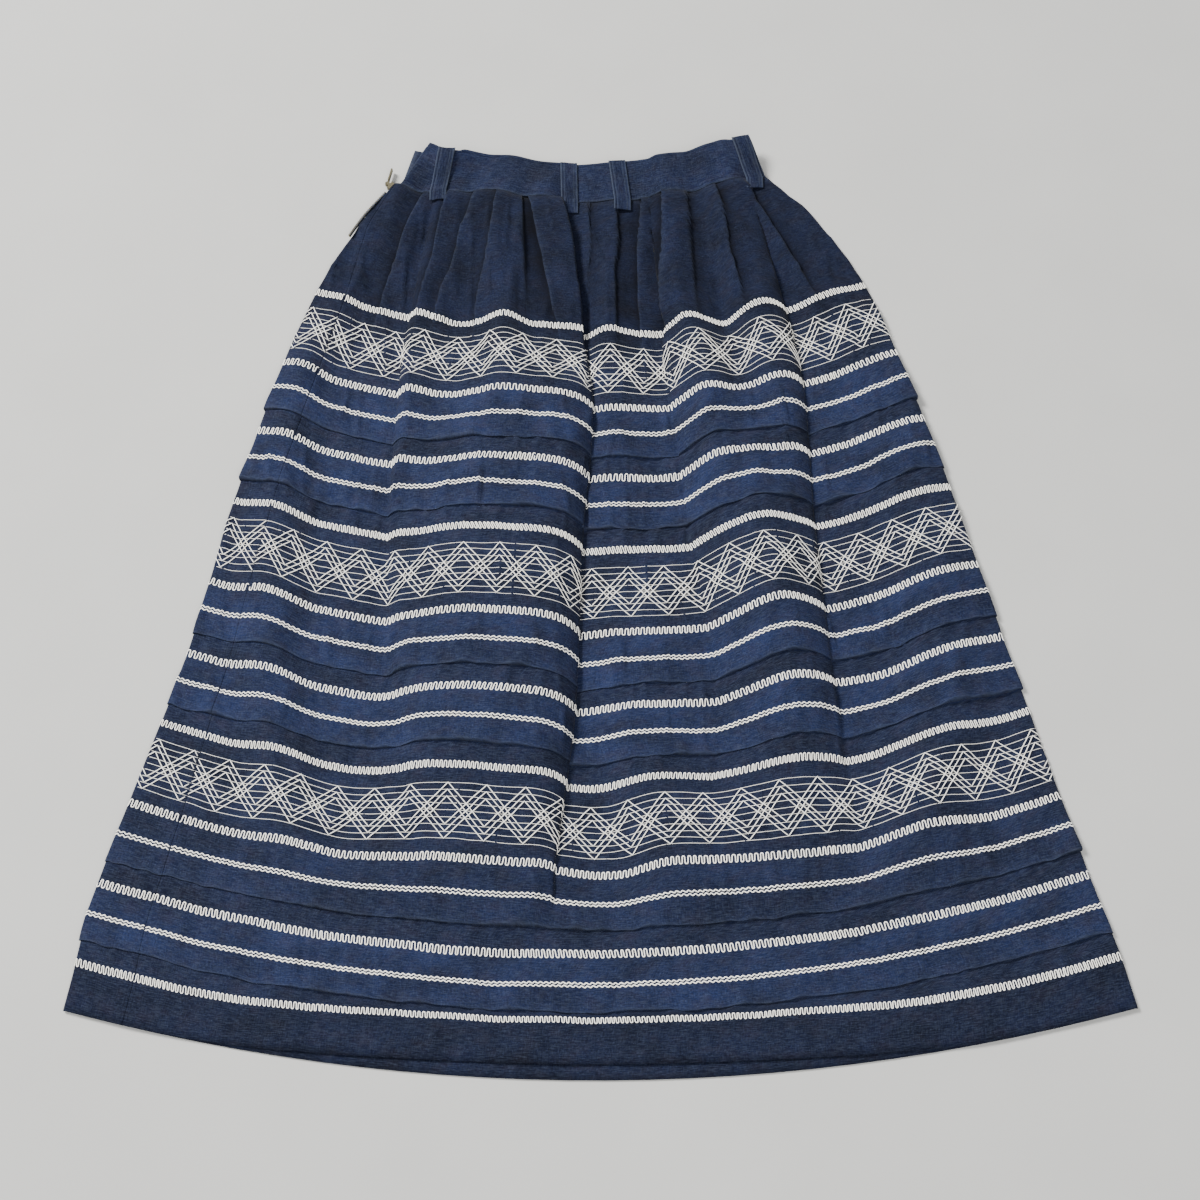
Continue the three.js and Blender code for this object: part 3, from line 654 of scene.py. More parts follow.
def linear(hex_code):
    """An sRGB hex colour as linear RGBA."""
    parts = [int(hex_code[k:k + 2], 16) / 255 for k in (1, 3, 5)]
    return (*(c / 12.92 if c <= 0.04045 else ((c + 0.055) / 1.055) ** 2.4 for c in parts), 1.0)


def add(tree, kind, inputs=None, **settings):
    """Adds a node with its settings; an input is a value, or a socket to link from."""
    node = tree.nodes.new(kind)
    for key, value in settings.items():
        setattr(node, key, value)
    for key, value in (inputs or {}).items():
        if isinstance(value, bpy.types.NodeSocket):
            tree.links.new(value, node.inputs[key])
        else:
            node.inputs[key].default_value = value
    return node


def new_material(name):
    """An empty material and its node tree."""
    material = bpy.data.materials.new(name)
    material.use_nodes = True
    material.node_tree.nodes.clear()
    return material, material.node_tree


def woven_denim(name, dark, blue, pale, frayed, russet_tone):
    """Lightweight indigo denim: a plain woven cotton whose uneven weft shows as short pale
    streaks, with russet clouds in its dye, matt with a faint bloom, a little worn where a
    fold stands up."""
    material, tree = new_material(name)
    cloth = add(tree, "ShaderNodeUVMap", uv_map="cloth").outputs["UV"]

    def streaks(along_mm, across_mm, detail, seed):
        """Noise whose streaks have that length along the weft and across it."""
        place = add(tree, "ShaderNodeMapping", {
            "Vector": cloth, "Scale": (1000 / along_mm, 1000 / across_mm, 1),
            "Location": (seed, seed * 2, 0)})
        streak = add(tree, "ShaderNodeTexNoise", {
            "Vector": place.outputs[0], "Scale": 1.0, "Detail": detail, "Roughness": 0.6},
            noise_dimensions="2D")
        return streak.outputs["Fac"]

    # Real threads are 0.3 mm apart, too fine to show here, so these are drawn coarser
    weft = streaks(8, 0.8, 3, 1.7)
    warp = streaks(0.9, 6, 2, 8.3)
    cloud = streaks(46, 30, 3, 3.1)
    mottle = streaks(17, 11, 4, 12.7)
    fleck = streaks(1.7, 1.2, 2, 5.9)
    tone, wear, tone_and_shade = (add(tree, "ShaderNodeAttribute", attribute_name=key).outputs["Fac"]
                         for key in ("blue", "wear", "tone_and_shade"))
    dyed = add(tree, "ShaderNodeMix", {"Factor": tone, "A": linear(dark), "B": linear(blue)},
               data_type="RGBA")
    # The cloth's tone scales its colour, with painted shade in the yoke and under the pleats' lips
    lighter = add(tree, "ShaderNodeMapRange", {"Value": tone_and_shade, "To Min": 1.0, "To Max": 1.65},
                  clamp=False)
    russet = add(tree, "ShaderNodeMapRange", {
        "Value": mottle, "From Min": 0.46, "From Max": 0.72, "To Min": 0.0, "To Max": 0.35})
    mottled = add(tree, "ShaderNodeMix", {
        "Factor": russet.outputs[0], "A": dyed.outputs["Result"], "B": linear(russet_tone)},
        data_type="RGBA")
    ground = add(tree, "ShaderNodeVectorMath", {
        0: mottled.outputs["Result"], "Scale": lighter.outputs[0]}, operation="SCALE")
    cloudy = add(tree, "ShaderNodeMapRange", {
        "Value": cloud, "From Min": 0.3, "From Max": 0.75, "To Min": 0.65, "To Max": 1.4})
    grain = add(tree, "ShaderNodeMapRange", {
        "Value": fleck, "From Min": 0.25, "From Max": 0.75, "To Min": 0.6, "To Max": 1.4})
    uneven = add(tree, "ShaderNodeMath", {0: cloudy.outputs[0], 1: grain.outputs[0]},
                 operation="MULTIPLY")
    clouded = add(tree, "ShaderNodeVectorMath", {0: ground.outputs[0], "Scale": uneven.outputs[0]},
                  operation="SCALE")
    warp_share = add(tree, "ShaderNodeMath", {0: warp, 1: 0.6}, operation="MULTIPLY")
    weft_share = add(tree, "ShaderNodeMath", {0: weft, 1: 1.4}, operation="MULTIPLY")
    both = add(tree, "ShaderNodeMath", {0: weft_share.outputs[0], 1: warp_share.outputs[0]},
               operation="ADD")
    pale_share = add(tree, "ShaderNodeMapRange", {
        "Value": both.outputs[0], "From Min": 0.85, "From Max": 1.4, "To Min": 0.0, "To Max": 0.2})
    # Where painted shade darkens the cloth, in the yoke and under the pleats' lips, fewer pale
    # threads show, and none at all in the pleats' folds
    shown = add(tree, "ShaderNodeMapRange", {"Value": tone_and_shade, "From Min": -1.1, "From Max": 0.6})
    pale_shown = add(tree, "ShaderNodeMath", {0: pale_share.outputs[0], 1: shown.outputs[0]},
                     operation="MULTIPLY")
    streaked = add(tree, "ShaderNodeMix", {
        "Factor": pale_shown.outputs[0], "A": clouded.outputs[0], "B": linear(pale)},
        data_type="RGBA")
    specks = add(tree, "ShaderNodeMapRange", {
        "Value": fleck, "From Min": 0.66, "From Max": 0.82, "To Min": 0.0, "To Max": 0.22})
    specks_shown = add(tree, "ShaderNodeMath", {0: specks.outputs[0], 1: shown.outputs[0]},
                       operation="MULTIPLY")
    flecked = add(tree, "ShaderNodeMix", {
        "Factor": specks_shown.outputs[0], "A": streaked.outputs["Result"], "B": linear(pale)},
        data_type="RGBA")
    worn_share = add(tree, "ShaderNodeMath", {0: wear, 1: 0.2}, operation="MULTIPLY")
    worn = add(tree, "ShaderNodeMix", {
        "Factor": worn_share.outputs[0], "A": flecked.outputs["Result"], "B": linear(frayed)},
        data_type="RGBA")
    relief = add(tree, "ShaderNodeBump", {
        "Height": both.outputs[0], "Strength": 0.3, "Distance": 0.0003})
    shader = add(tree, "ShaderNodeBsdfPrincipled", {
        "Base Color": worn.outputs["Result"], "Roughness": 0.9, "Specular IOR Level": 0.1,
        "Sheen Weight": 0.02, "Sheen Roughness": 0.5, "Normal": relief.outputs[0]})
    add(tree, "ShaderNodeOutputMaterial", {"Surface": shader.outputs[0]})
    return material


def cotton_thread(name, colour, shade):
    """Mercerised two-ply cotton thread: cream, softly glossy, with painted shade between its plies.
    """
    material, tree = new_material(name)
    along = add(tree, "ShaderNodeUVMap", uv_map="cloth").outputs["UV"]
    # One turn of the plies every 1.6 mm
    twist = add(tree, "ShaderNodeTexWave", {"Vector": along, "Scale": 100.0, "Distortion": 0.6},
                bands_direction="DIAGONAL")
    # Painted shade between the plies: the twist darkens the colour in its grooves
    ply_shade_share = add(tree, "ShaderNodeMapRange", {
        "Value": twist.outputs["Fac"], "To Min": 0.0, "To Max": 0.45})
    tone = add(tree, "ShaderNodeMix", {
        "Factor": ply_shade_share.outputs[0], "A": linear(colour), "B": linear(shade)}, data_type="RGBA")
    relief = add(tree, "ShaderNodeBump", {
        "Height": twist.outputs["Fac"], "Strength": 0.3, "Distance": 0.0002})
    shader = add(tree, "ShaderNodeBsdfPrincipled", {
        "Base Color": tone.outputs["Result"], "Roughness": 0.62, "Sheen Weight": 0.2,
        "Normal": relief.outputs[0]})
    add(tree, "ShaderNodeOutputMaterial", {"Surface": shader.outputs[0]})
    return material


def darkened_brass(name, colour, dull):
    """Brass of a metal zip, darkened with age: satin, with duller patches."""
    material, tree = new_material(name)
    place = add(tree, "ShaderNodeTexCoord").outputs["Object"]
    # Patches about 1.5 mm wide
    patch = add(tree, "ShaderNodeTexNoise", {"Vector": place, "Scale": 650.0, "Detail": 3.0})
    tone = add(tree, "ShaderNodeMix", {
        "Factor": patch.outputs["Fac"], "A": linear(colour), "B": linear(dull)}, data_type="RGBA")
    rough = add(tree, "ShaderNodeMapRange", {
        "Value": patch.outputs["Fac"], "To Min": 0.32, "To Max": 0.6})
    shader = add(tree, "ShaderNodeBsdfPrincipled", {
        "Base Color": tone.outputs["Result"], "Metallic": 1.0, "Roughness": rough.outputs[0]})
    add(tree, "ShaderNodeOutputMaterial", {"Surface": shader.outputs[0]})
    return material


def woven_tape(name, colour, light):
    """Cotton zip tape: a fine herringbone in two dark blues, matt."""
    material, tree = new_material(name)
    place = add(tree, "ShaderNodeTexCoord").outputs["Object"]
    # Ribs 0.6 mm apart
    ribs = add(tree, "ShaderNodeTexWave", {
        "Vector": place, "Scale": 260.0, "Distortion": 1.5, "Detail": 2.0},
        bands_direction="DIAGONAL")
    tone = add(tree, "ShaderNodeMix", {
        "Factor": ribs.outputs["Fac"], "A": linear(colour), "B": linear(light)}, data_type="RGBA")
    relief = add(tree, "ShaderNodeBump", {
        "Height": ribs.outputs["Fac"], "Strength": 0.4, "Distance": 0.0002})
    shader = add(tree, "ShaderNodeBsdfPrincipled", {
        "Base Color": tone.outputs["Result"], "Roughness": 0.85, "Normal": relief.outputs[0]})
    add(tree, "ShaderNodeOutputMaterial", {"Surface": shader.outputs[0]})
    return material


def painted_floor(name, colour):
    """A plain pale floor: matt paint with a faint unevenness."""
    material, tree = new_material(name)
    place = add(tree, "ShaderNodeTexCoord").outputs["Object"]
    patch = add(tree, "ShaderNodeTexNoise", {"Vector": place, "Scale": 9.0, "Detail": 4.0})
    share = add(tree, "ShaderNodeMapRange", {
        "Value": patch.outputs["Fac"], "To Min": 0.94, "To Max": 1.06})
    tone = add(tree, "ShaderNodeVectorMath", {0: linear(colour)[:3], "Scale": share.outputs[0]},
               operation="SCALE")
    shader = add(tree, "ShaderNodeBsdfPrincipled", {
        "Base Color": tone.outputs[0], "Roughness": 0.9})
    add(tree, "ShaderNodeOutputMaterial", {"Surface": shader.outputs[0]})
    return material


# Settings that a user would change

def dye(name, description, default):
    """A colour setting, as an sRGB hex code."""
    return bpy.props.StringProperty(name=name, description=description, default=default)


def measure(name, description, default, least, most):
    """A size setting in metres."""
    return bpy.props.FloatProperty(name=name, description=description, default=default,
                                   unit="LENGTH", min=least, max=most)


class SkirtCloth(bpy.types.PropertyGroup):
    """Denim and its mesh."""
    dark: dye("Dark denim", "Colour of the cloth between the tucks and in the hem", "#080c1b")
    blue: dye("Blue denim", "Colour of the tucks and the yoke", "#0c1226")
    pale: dye("Weft", "Colour of the pale weft", "#4e5769")
    frayed: dye("Worn", "Colour where an edge is worn", "#545c68")
    russet: dye("Russet", "Colour of the clouds in the dye", "#16121a")
    thick: measure("Thickness", "Thickness of the cloth", 0.0012, 0.0005, 0.003)
    spacing: measure("Row spacing", "Distance between the mesh's rows", 0.0065, 0.002, 0.02)
    columns: bpy.props.IntProperty(name="Columns", description="Columns of the front panel's mesh",
                                   default=262, min=60, max=400)


class SkirtThread(bpy.types.PropertyGroup):
    """Embroidery threads."""
    colour: dye("Thread", "Colour of the threads", "#fbf8ef")
    # The colour of the painted shade between the plies
    shade: dye("Between plies", "Colour between the plies", "#eae5d8")
    cord: measure("Braid cord", "Diameter of the tall braids' cord", 0.00095, 0.0005, 0.003)
    short: measure("Short braid cord", "Diameter of the short braids' cord", 0.00086, 0.0005, 0.003)
    wave: measure("Wave cord", "Diameter of the wavy lines' cord", 0.00105, 0.0004, 0.003)
    fine: measure("Zigzag cord", "Diameter of the lattice's zigzag cord", 0.0008, 0.0004, 0.003)
    hair: measure("Lattice line", "Diameter of the lattice's level lines", 0.00038, 0.0002, 0.002)


class SkirtStudio(bpy.types.PropertyGroup):
    """Floor, lights and camera."""
    floor: dye("Floor", "Colour of the floor", "#b0afab")
    height: measure("Camera height", "Height of the camera above the floor", 1.352, 0.5, 5.0)
    tilt: bpy.props.FloatProperty(name="Camera tilt", description="Camera's lean from plumb",
                                  default=math.radians(20), subtype="ANGLE")
    lens: bpy.props.FloatProperty(name="Lens", description="Focal length", default=52.68,
                                  unit="CAMERA")


# Front and back panels

def blue_share(rows):
    """How blue the cloth is: most on the tucks and in the yoke, and least between the tucks."""
    share = BLUE["between"] + BLUE["yoke"] * (1 - smooth((rows - BLUE["end"]) / BLUE["over"]))
    for blue, (sewn, fold) in zip(TUCK_BLUE, TUCKS):
        share += blue * smooth((rows - sewn) / 1.5) * (rows < fold + 0.75)
    return np.clip(share, 0, 1)


def tone_and_shade_share(rows):
    """Tone of the cloth: least in the yoke, as painted shade, 1 below and less again in the hem."""
    hem = 1 - HEM_TONE["less"] * smooth((rows - HEM_TONE["from"]) / HEM_TONE["over"])
    return TONE_AND_SHADE["more"] * smooth((rows - TONE_AND_SHADE["from"]) / TONE_AND_SHADE["over"]) * hem + TONE_AND_SHADE["yoke"]


def lip_wear(rows, lifts):
    """A little wear where a tuck's fold stands up."""
    wear = np.zeros_like(rows)
    for _, fold in TUCKS:
        wear += 0.5 * np.exp(-((rows - fold) / 1.6) ** 2) * (lifts > 0.4)
    return np.clip(wear, 0, 1)


def front_grids(cloth):
    """Rows, steps and columns of the front, and the points of its upper and lower face."""
    rows, lifts = panel_rows(cloth.spacing / MM)
    seam = edge(rows, "left_x") + edge(rows, "strip")
    right = edge(rows, "right_x") - LAYER / 2
    x = even_columns(seam + SEAM_NEXT, right, rows, cloth.columns)
    x = np.concatenate([seam + SEAM_COLUMNS, x], axis=1)
    upper = sink_seam(top_surface(x, rows, lifts))
    plain = sink_seam(top_surface(x, rows, 0))
    thick = cloth.thick / MM
    rim, rim_y = edge(rows, "right_x") + flare(rows, lifts), upper[:, -1:, 1]
    upper = np.concatenate([upper, rim_roll(rim, rim_y, upper[:, -1:, 2], 1, 0)], axis=1)
    below = rim_roll(rim, rim_y, plain[:, -1:, 2], 1, thick)
    lower = np.concatenate([thickened(plain, thick), below], axis=1)
    return rows, lifts, x, upper, lower


def along_rows(points):
    """Distance along each row of a grid of points."""
    run = np.linalg.norm(np.diff(points, axis=1), axis=-1)
    return np.concatenate([np.zeros((len(points), 1)), np.cumsum(run, axis=1)], axis=1)


# The upper faces that are sewn on, once their panels are made
LAID = {}


class SKIRT_OT_front_panel(bpy.types.Operator):
    """The gathered and tucked front, as a thin shell with its folds and pleats"""
    bl_idname = "skirt.front_panel"
    bl_label = "Front panel"

    def execute(self, context):
        cloth = context.scene.skirt_cloth
        rows, lifts, x, upper, lower = front_grids(cloth)
        # The points round the outline's fold take the last column's tones
        round_rim = ((0, 0), (0, upper.shape[1] - x.shape[1]))
        wear = np.pad(lip_wear(rows, lifts) + pleat_wear(x, rows), round_rim, "edge")
        # The cloth's tone, less the painted shade under the pleats' lips
        tone_and_shade = tone_and_shade_share(rows) - np.pad(pleat_shade(x, rows), round_rim, "edge")
        tones = {"blue": blue_share(rows), "wear": np.clip(wear, 0, 1), "tone_and_shade": tone_and_shade}
        piece = make_shell("front_cloth", upper, lower, along_rows(upper), SKIRT_LENGTH - rows,
                           tones)
        piece.data.materials.append(denim(cloth))
        LAID["front"] = Laid(upper[:, :-3], rows)
        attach(piece, "garment")
        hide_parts("front_panel")
        return {"FINISHED"}


class SKIRT_OT_back_panel(bpy.types.Operator):
    """The back, flat on the floor, with the strip that wraps round to the front on the left"""
    bl_idname = "skirt.back_panel"
    bl_label = "Back panel"

    def execute(self, context):
        cloth = context.scene.skirt_cloth
        thick = cloth.thick / MM
        rows, lifts = panel_rows(cloth.spacing / MM)
        turn = edge(rows, "left_x") + LAYER / 2
        width = np.maximum(SEAM_SLIT, edge(rows, "strip") - SEAM_SLIT - LAYER / 2)
        near = np.minimum(SEAM_COLUMNS, 0.6 * width)
        rest = (width - near[:, -1:]) * np.linspace(0.93, 0, 14)
        strip_x = turn + np.concatenate([width - near, rest], axis=1)
        far = edge(rows, "right_x") - LAYER / 2 - SEAM_GAP
        # Points of the side on the floor, closer together near the fold
        floor_x = turn + (far - turn) * np.concatenate([[0.004, 0.02], np.linspace(0.05, 1, 26)])
        floor_y = flat_y(floor_x, rows)
        outer = sink_seam(top_surface(strip_x, rows, lifts))
        inner = thickened(sink_seam(top_surface(strip_x, rows, 0))[:, ::-1], thick)[:, ::-1]
        edge_y = outer[:, -1:, 1]
        rim = edge(rows, "left_x") - flare(rows, lifts)
        outer_roll = rim_roll(rim, edge_y, outer[:, -1:, 2], -1, 0)
        inner_roll = rim_roll(rim, edge_y, inner[:, -1:, 2] + thick, -1, thick)
        ground = np.stack([floor_x, floor_y, np.zeros_like(floor_x)], axis=-1)
        raised = ground + (0, 0, thick)
        LAID["strip"] = Laid(np.concatenate([outer, outer_roll[:, :3]], axis=1)[:, ::-1], rows)
        outer = np.concatenate([outer, outer_roll, ground], axis=1)
        inner = np.concatenate([inner, inner_roll, raised], axis=1)
        # The tone carries the yoke's painted shade here as well
        tones = {"blue": blue_share(rows), "wear": lip_wear(rows, lifts),
                 "tone_and_shade": tone_and_shade_share(rows)}
        # The columns run leftwards and back under, so the shell's lower grid is the outer face
        piece = make_shell("back_cloth", inner, outer, along_rows(outer), SKIRT_LENGTH - rows,
                           tones)
        piece.data.materials.append(denim(cloth))
        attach(piece, "garment")
        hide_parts("back_panel")
        return {"FINISHED"}


def denim(cloth):
    """The denim, made once for all the pieces cut from it."""
    found = bpy.data.materials.get("woven indigo denim")
    return found or woven_denim("woven indigo denim", cloth.dark, cloth.blue, cloth.pale,
                                cloth.frayed, cloth.russet)


# Waistband and belt loops

def band_low(x):
    """Height of the band's lower edge: it lies over the pleats' lips and evens them out."""
    reach = np.linspace(-6, 6, 9)
    spots = np.asarray(x, float)[..., None] + reach
    folds = fold_height(spots, 0.0) + pleat_form(spots, 0.0)[0]
    return np.maximum(LAYER + folds.mean(-1) + BAND_LIP, 2 * BAND_CLOTH + SEAM_GAP)


def band_point(low_x, up):
    """Upper face of the front waistband: up is 0 at the waist seam and 1 at the top edge."""
    low_x, up = np.broadcast_arrays(np.asarray(low_x, float), np.asarray(up, float))
    across = (low_x - BAND_LEFT) / (BAND_RIGHT - BAND_LEFT)
    top_x = BAND_FRONT["top_left"] + (BAND_FRONT["top_right"] - BAND_FRONT["top_left"]) * across
    low_y = flat_y(low_x, 0.0) + SLIP * fold_height(low_x, 0.0)
    low_z = band_low(low_x)
    top_z = through(top_x, BAND_TOP["x"], BAND_TOP["z"])
    rise = np.sqrt(BAND_HEIGHT**2 - (top_z - low_z) ** 2)
    swell = 0.35 * noise(low_x / 15, up * 1.7, 11) * np.sin(np.pi * np.clip(up, 0, 1))
    return np.stack([low_x + (top_x - low_x) * up, low_y + SEAM_GAP + rise * up,
                     low_z + (top_z - low_z) * smooth(up) + swell], axis=-1)


def pillow(distance, radius, half):
    """Half thickness of a folded edge at a distance from it."""
    t = 1 - np.clip(distance / radius, 0, 1)
    return half * np.sqrt(np.clip(1 - 0.96 * t * t, 0, 1))


def close_to_edges(count, length, radius):
    """Distances along a length, closer together near both ends, where the edge rounds off."""
    ends = np.array((0, 0.12, 0.35, 0.7, 1.0)) * radius
    even = np.linspace(radius, length - radius, count)[1:-1]
    return np.concatenate([ends, even, length - ends[::-1]])


def with_seams(distances, seams, steps):
    """Those distances, with a few more across each stitched line."""
    return np.unique(np.concatenate([distances, [seam + step for seam in seams for step in steps]]))


def band_tones(from_edge):
    """The band's denim: as blue and of one tone all over, and worn along its edges."""
    return {"blue": 0.6 + 0 * from_edge, "tone_and_shade": 0.6 + 0 * from_edge,
            "wear": 0.9 * np.exp(-(from_edge / 1.0) ** 2)}


class SKIRT_OT_waistband(bpy.types.Operator):
    """The front and back halves of the waistband, with rounded folded edges"""
    bl_idname = "skirt.waistband"
    bl_label = "Waistband"

    def execute(self, context):
        cloth = context.scene.skirt_cloth
        half = BAND_CLOTH / 2
        down = close_to_edges(16, BAND_HEIGHT, BAND_ROUND)
        down = with_seams(down, BAND_SEAMS, BAND_STEPS)[:, None]
        wide = BAND_RIGHT - BAND_LEFT
        across = close_to_edges(150, wide, BAND_ROUND)[None, :]
        from_edge = np.minimum(np.minimum(down, BAND_HEIGHT - down),
                               np.minimum(across, wide - across))
        middle = band_point(BAND_LEFT + across, 1 - down / BAND_HEIGHT) - (0, 0, half)
        body = pillow(from_edge, BAND_ROUND, half)[..., None] * (0, 0, 1)
        # The two stitched lines near its edges pull the cloth in a little
        seams = sum(np.exp(-((down - seam) / 0.5) ** 2) for seam in BAND_SEAMS)
        groove = (0.4 * seams * np.ones_like(across))[..., None] * (0, 0, 1)
        piece = make_shell("front_waistband", middle + body - groove, middle - body, across,
                           down + BAND_CUT, band_tones(from_edge))
        self.finish(piece, cloth, "waistband_front", "denim", ["front_cloth"], (0.33, 0.038))

        back_x = np.linspace(BAND_LEFT - 1, BAND_RIGHT - 1, 60)[None, :]
        share = np.clip((back_x - back_x[0, 0]) / (back_x[0, -1] - back_x[0, 0]), 0, 1)
        top_x = BAND_BACK["top_left"] + (BAND_BACK["top_right"] - BAND_BACK["top_left"]) * share
        tall = BAND_BACK["rise"] + BAND_BACK["corner"] * (1 - smooth(share * 4))
        up = 1 - close_to_edges(8, 1, 0.04)[:, None]
        x = back_x + (top_x - back_x) * up
        y = flat_y(back_x, 0.0) + SEAM_GAP + tall * up
        from_edge = np.minimum(np.minimum(up, 1 - up) * BAND_HEIGHT,
                               np.minimum(share, 1 - share) * 300)
        body = pillow(from_edge, BAND_ROUND, half)
        upper = np.stack([x, y, half + body], axis=-1)
        lower = np.stack([x, y, np.maximum(0, half - body)], axis=-1)
        piece = make_shell("back_waistband", upper, lower, x, BAND_CUT + 40 * (1 - up),
                           band_tones(from_edge))
        self.finish(piece, cloth, "waistband_back", "dark_denim", ["floor"], (0.33, 0.04))
        return {"FINISHED"}

    def finish(self, piece, cloth, node, slot, rests_on, flat):
        """Dresses one half of the band and hides the imported part that it stands for."""
        piece.data.materials.append(denim(cloth))
        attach(piece, "garment")
        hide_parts(node)


class SKIRT_OT_belt_loops(bpy.types.Operator):
    """Four belt loops over the waistband, edge-stitched on both sides"""
    bl_idname = "skirt.belt_loops"
    bl_label = "Belt loops"

    def execute(self, context):
        cloth = context.scene.skirt_cloth
        thick = LOOP["thick"]
        for number, loop in enumerate(LOOPS, 1):
            down = close_to_edges(34, LOOP["long"], LOOP["round"])[:, None]
            across = close_to_edges(12, LOOP["width"], LOOP["round"])
            stitches = (LOOP["stitch"], LOOP["width"] - LOOP["stitch"])
            across = with_seams(across, stitches, LOOP_STEPS)[None, :]
            up = np.maximum(0, 1 - down / BAND_HEIGHT)
            row = np.maximum(0, down - BAND_HEIGHT)
            middle = loop["low"] + (loop["top"] - loop["low"]) * up
            x = middle + across - LOOP["width"] / 2
            left = BAND_LEFT + (BAND_FRONT["top_left"] - BAND_LEFT) * up
            right = BAND_RIGHT + (BAND_FRONT["top_right"] - BAND_RIGHT) * up
            column = BAND_LEFT + (BAND_RIGHT - BAND_LEFT) * (x - left) / (right - left)
            over_band = band_point(column, up)
            over_skirt = top_surface(x, row, 0.0)
            below = row > 0
            z = np.where(below, over_skirt[..., 2], over_band[..., 2])
            y = np.where(below, over_skirt[..., 1], over_band[..., 1])
            chord = z[:, :1] + (z[:, -1:] - z[:, :1]) * across / LOOP["width"]
            bulge = np.max(z - chord, axis=1, keepdims=True)
            rest = chord + bulge + LOOP["clear"]
            # A stiff loop bridges the hollows below it
            for _ in range(6):
                rest[1:-1] = np.maximum(rest[1:-1], (rest[:-2] + rest[2:]) / 2)
            # It lies half as slanted across as the cloth below it
            level = y.mean(axis=1, keepdims=True)
            y = level + (y - level) * 0.5
            from_side = np.minimum(across, LOOP["width"] - across) + 0 * down
            from_edge = np.minimum(np.minimum(down, LOOP["long"] - down), from_side)
            body = pillow(from_edge, LOOP["round"], thick / 2)
            groove = 0.35 * np.exp(-((from_side - LOOP["stitch"]) / 0.4) ** 2)
            upper = np.stack([x, y, rest + thick / 2 + body - groove], axis=-1)
            lower = np.stack([x, y, rest + thick / 2 - body], axis=-1)
            wear = 1.5 * np.exp(-(from_side / 1.0) ** 2)
            wear = wear + 0.6 * np.exp(-((from_side - LOOP["worn"]) / 0.4) ** 2)
            tones = {"blue": 0.6 + 0 * from_side, "tone_and_shade": 0.5 + 0 * from_side, "wear": wear}
            # The loops are cut across the cloth, so its weft runs down them
            piece = make_shell(f"belt_loop_cloth_{number}", upper, lower, down + 60 * number,
                               across + LOOP_CUT, tones)
            piece.data.materials.append(denim(cloth))
            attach(piece, "garment")
            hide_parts(f"belt_loop_{number}")
        return {"FINISHED"}


# Embroidery

def braid_path(width, stitch, number):
    """A serpentine stitch: distances along the row and offsets down from it."""
    seed = stitch["seed"] + number
    t = np.arange(0, width / stitch["pitch"], 1 / 12)
    wander = 0.5 * noise(t / 9, 0.5, seed) + 0.1 * noise(t * 2, 0.5, seed + 1)
    u = stitch["pitch"] * (t - BRAID_SQUEEZE * np.sin(4 * np.pi * t) / (4 * np.pi) + wander)
    wave = np.tanh(BRAID_SQUARE * np.sin(2 * np.pi * t)) / np.tanh(BRAID_SQUARE)
    v = stitch["high"] / 2 * wave * (1 + 0.05 * noise(t * 2, 2.5, seed))
    return u + stitch["slant"] * v, v


def wave_paths(width, seed):
    """Two wavy lines side by side."""
    t = np.arange(0, width, WAVE["pitch"] / 8)
    phase = 2 * np.pi * t / WAVE["pitch"] + 0.9 * noise(t / 30, 0.5, seed)
    for offset in (-WAVE["apart"] / 2, WAVE["apart"] / 2):
        yield t, offset + WAVE["high"] / 2 * np.sin(phase) + 0.2 * noise(t / 12, 4.5, seed)


def stops(width, spacing, corners=()):
    """Distances along a row, with its two ends and the corners among them."""
    end = width - END_GAP
    spots = np.concatenate([np.arange(END_GAP, end, spacing), corners, [end]])
    return np.unique(np.round(spots[(spots >= END_GAP) & (spots <= end)], 2))


def lattice_paths(width, top, low, shift, seed):
    """Level lines, and two sets of three nested zigzags that cross, one over the other."""
    step = (low - top) / (LATTICE_LEVELS - 1)
    for level in range(LATTICE_LEVELS):
        t = stops(width, 3.5)
        yield "hair", t, top + step * level + 0.35 * noise(t / 21, level, seed), 0.0
    for family in (0, 1):
        for line in range(3):
            corners = np.arange(1, width / LATTICE_PITCH + 2) * LATTICE_PITCH
            corners = corners - shift % LATTICE_PITCH
            t = stops(width, LATTICE_PITCH / 12, corners)
            phase = (t + shift) / LATTICE_PITCH + family
            zigzag = np.abs((phase % 2) - 1)
            sway = 0.4 * noise(t / 15, line + 3 * family, seed + 5)
            yield "fine", t, top + step * (line + 6 * (1 - zigzag)) + sway, 0.3 + 0.35 * family


def sewn(laid, width, u, v, lift=0.0):
    """Points and normals of a thread that lies on a cloth, or lift above it."""
    inside = (u >= END_GAP) & (u <= width - END_GAP)
    points, normals = laid.at(u[inside] / width, v[inside])
    return points + lift * normals, normals


class SKIRT_OT_braids(bpy.types.Operator):
    """Rows of serpentine braid: tall ones on the tucks' stitched lines and short ones between"""
    bl_idname = "skirt.braids"
    bl_label = "Braids"

    def execute(self, context):
        thread = context.scene.skirt_thread
        for name, rows, stitch, cord in (
                ("tall_braids", TALL_BRAIDS, TALL_STITCH, thread.cord),
                ("short_braids", SHORT_BRAIDS, SHORT_STITCH, thread.short)):
            lines = []
            for laid, shift in ((LAID["front"], 0), (LAID["strip"], 40)):
                for number, row in enumerate(rows):
                    width = laid.width(row)
                    u, v = braid_path(width, stitch, number + shift)
                    lines.append(sewn(laid, width, u, row + v))
            embroider(thread, name, lines, cord / MM / 2, 6)
        return {"FINISHED"}


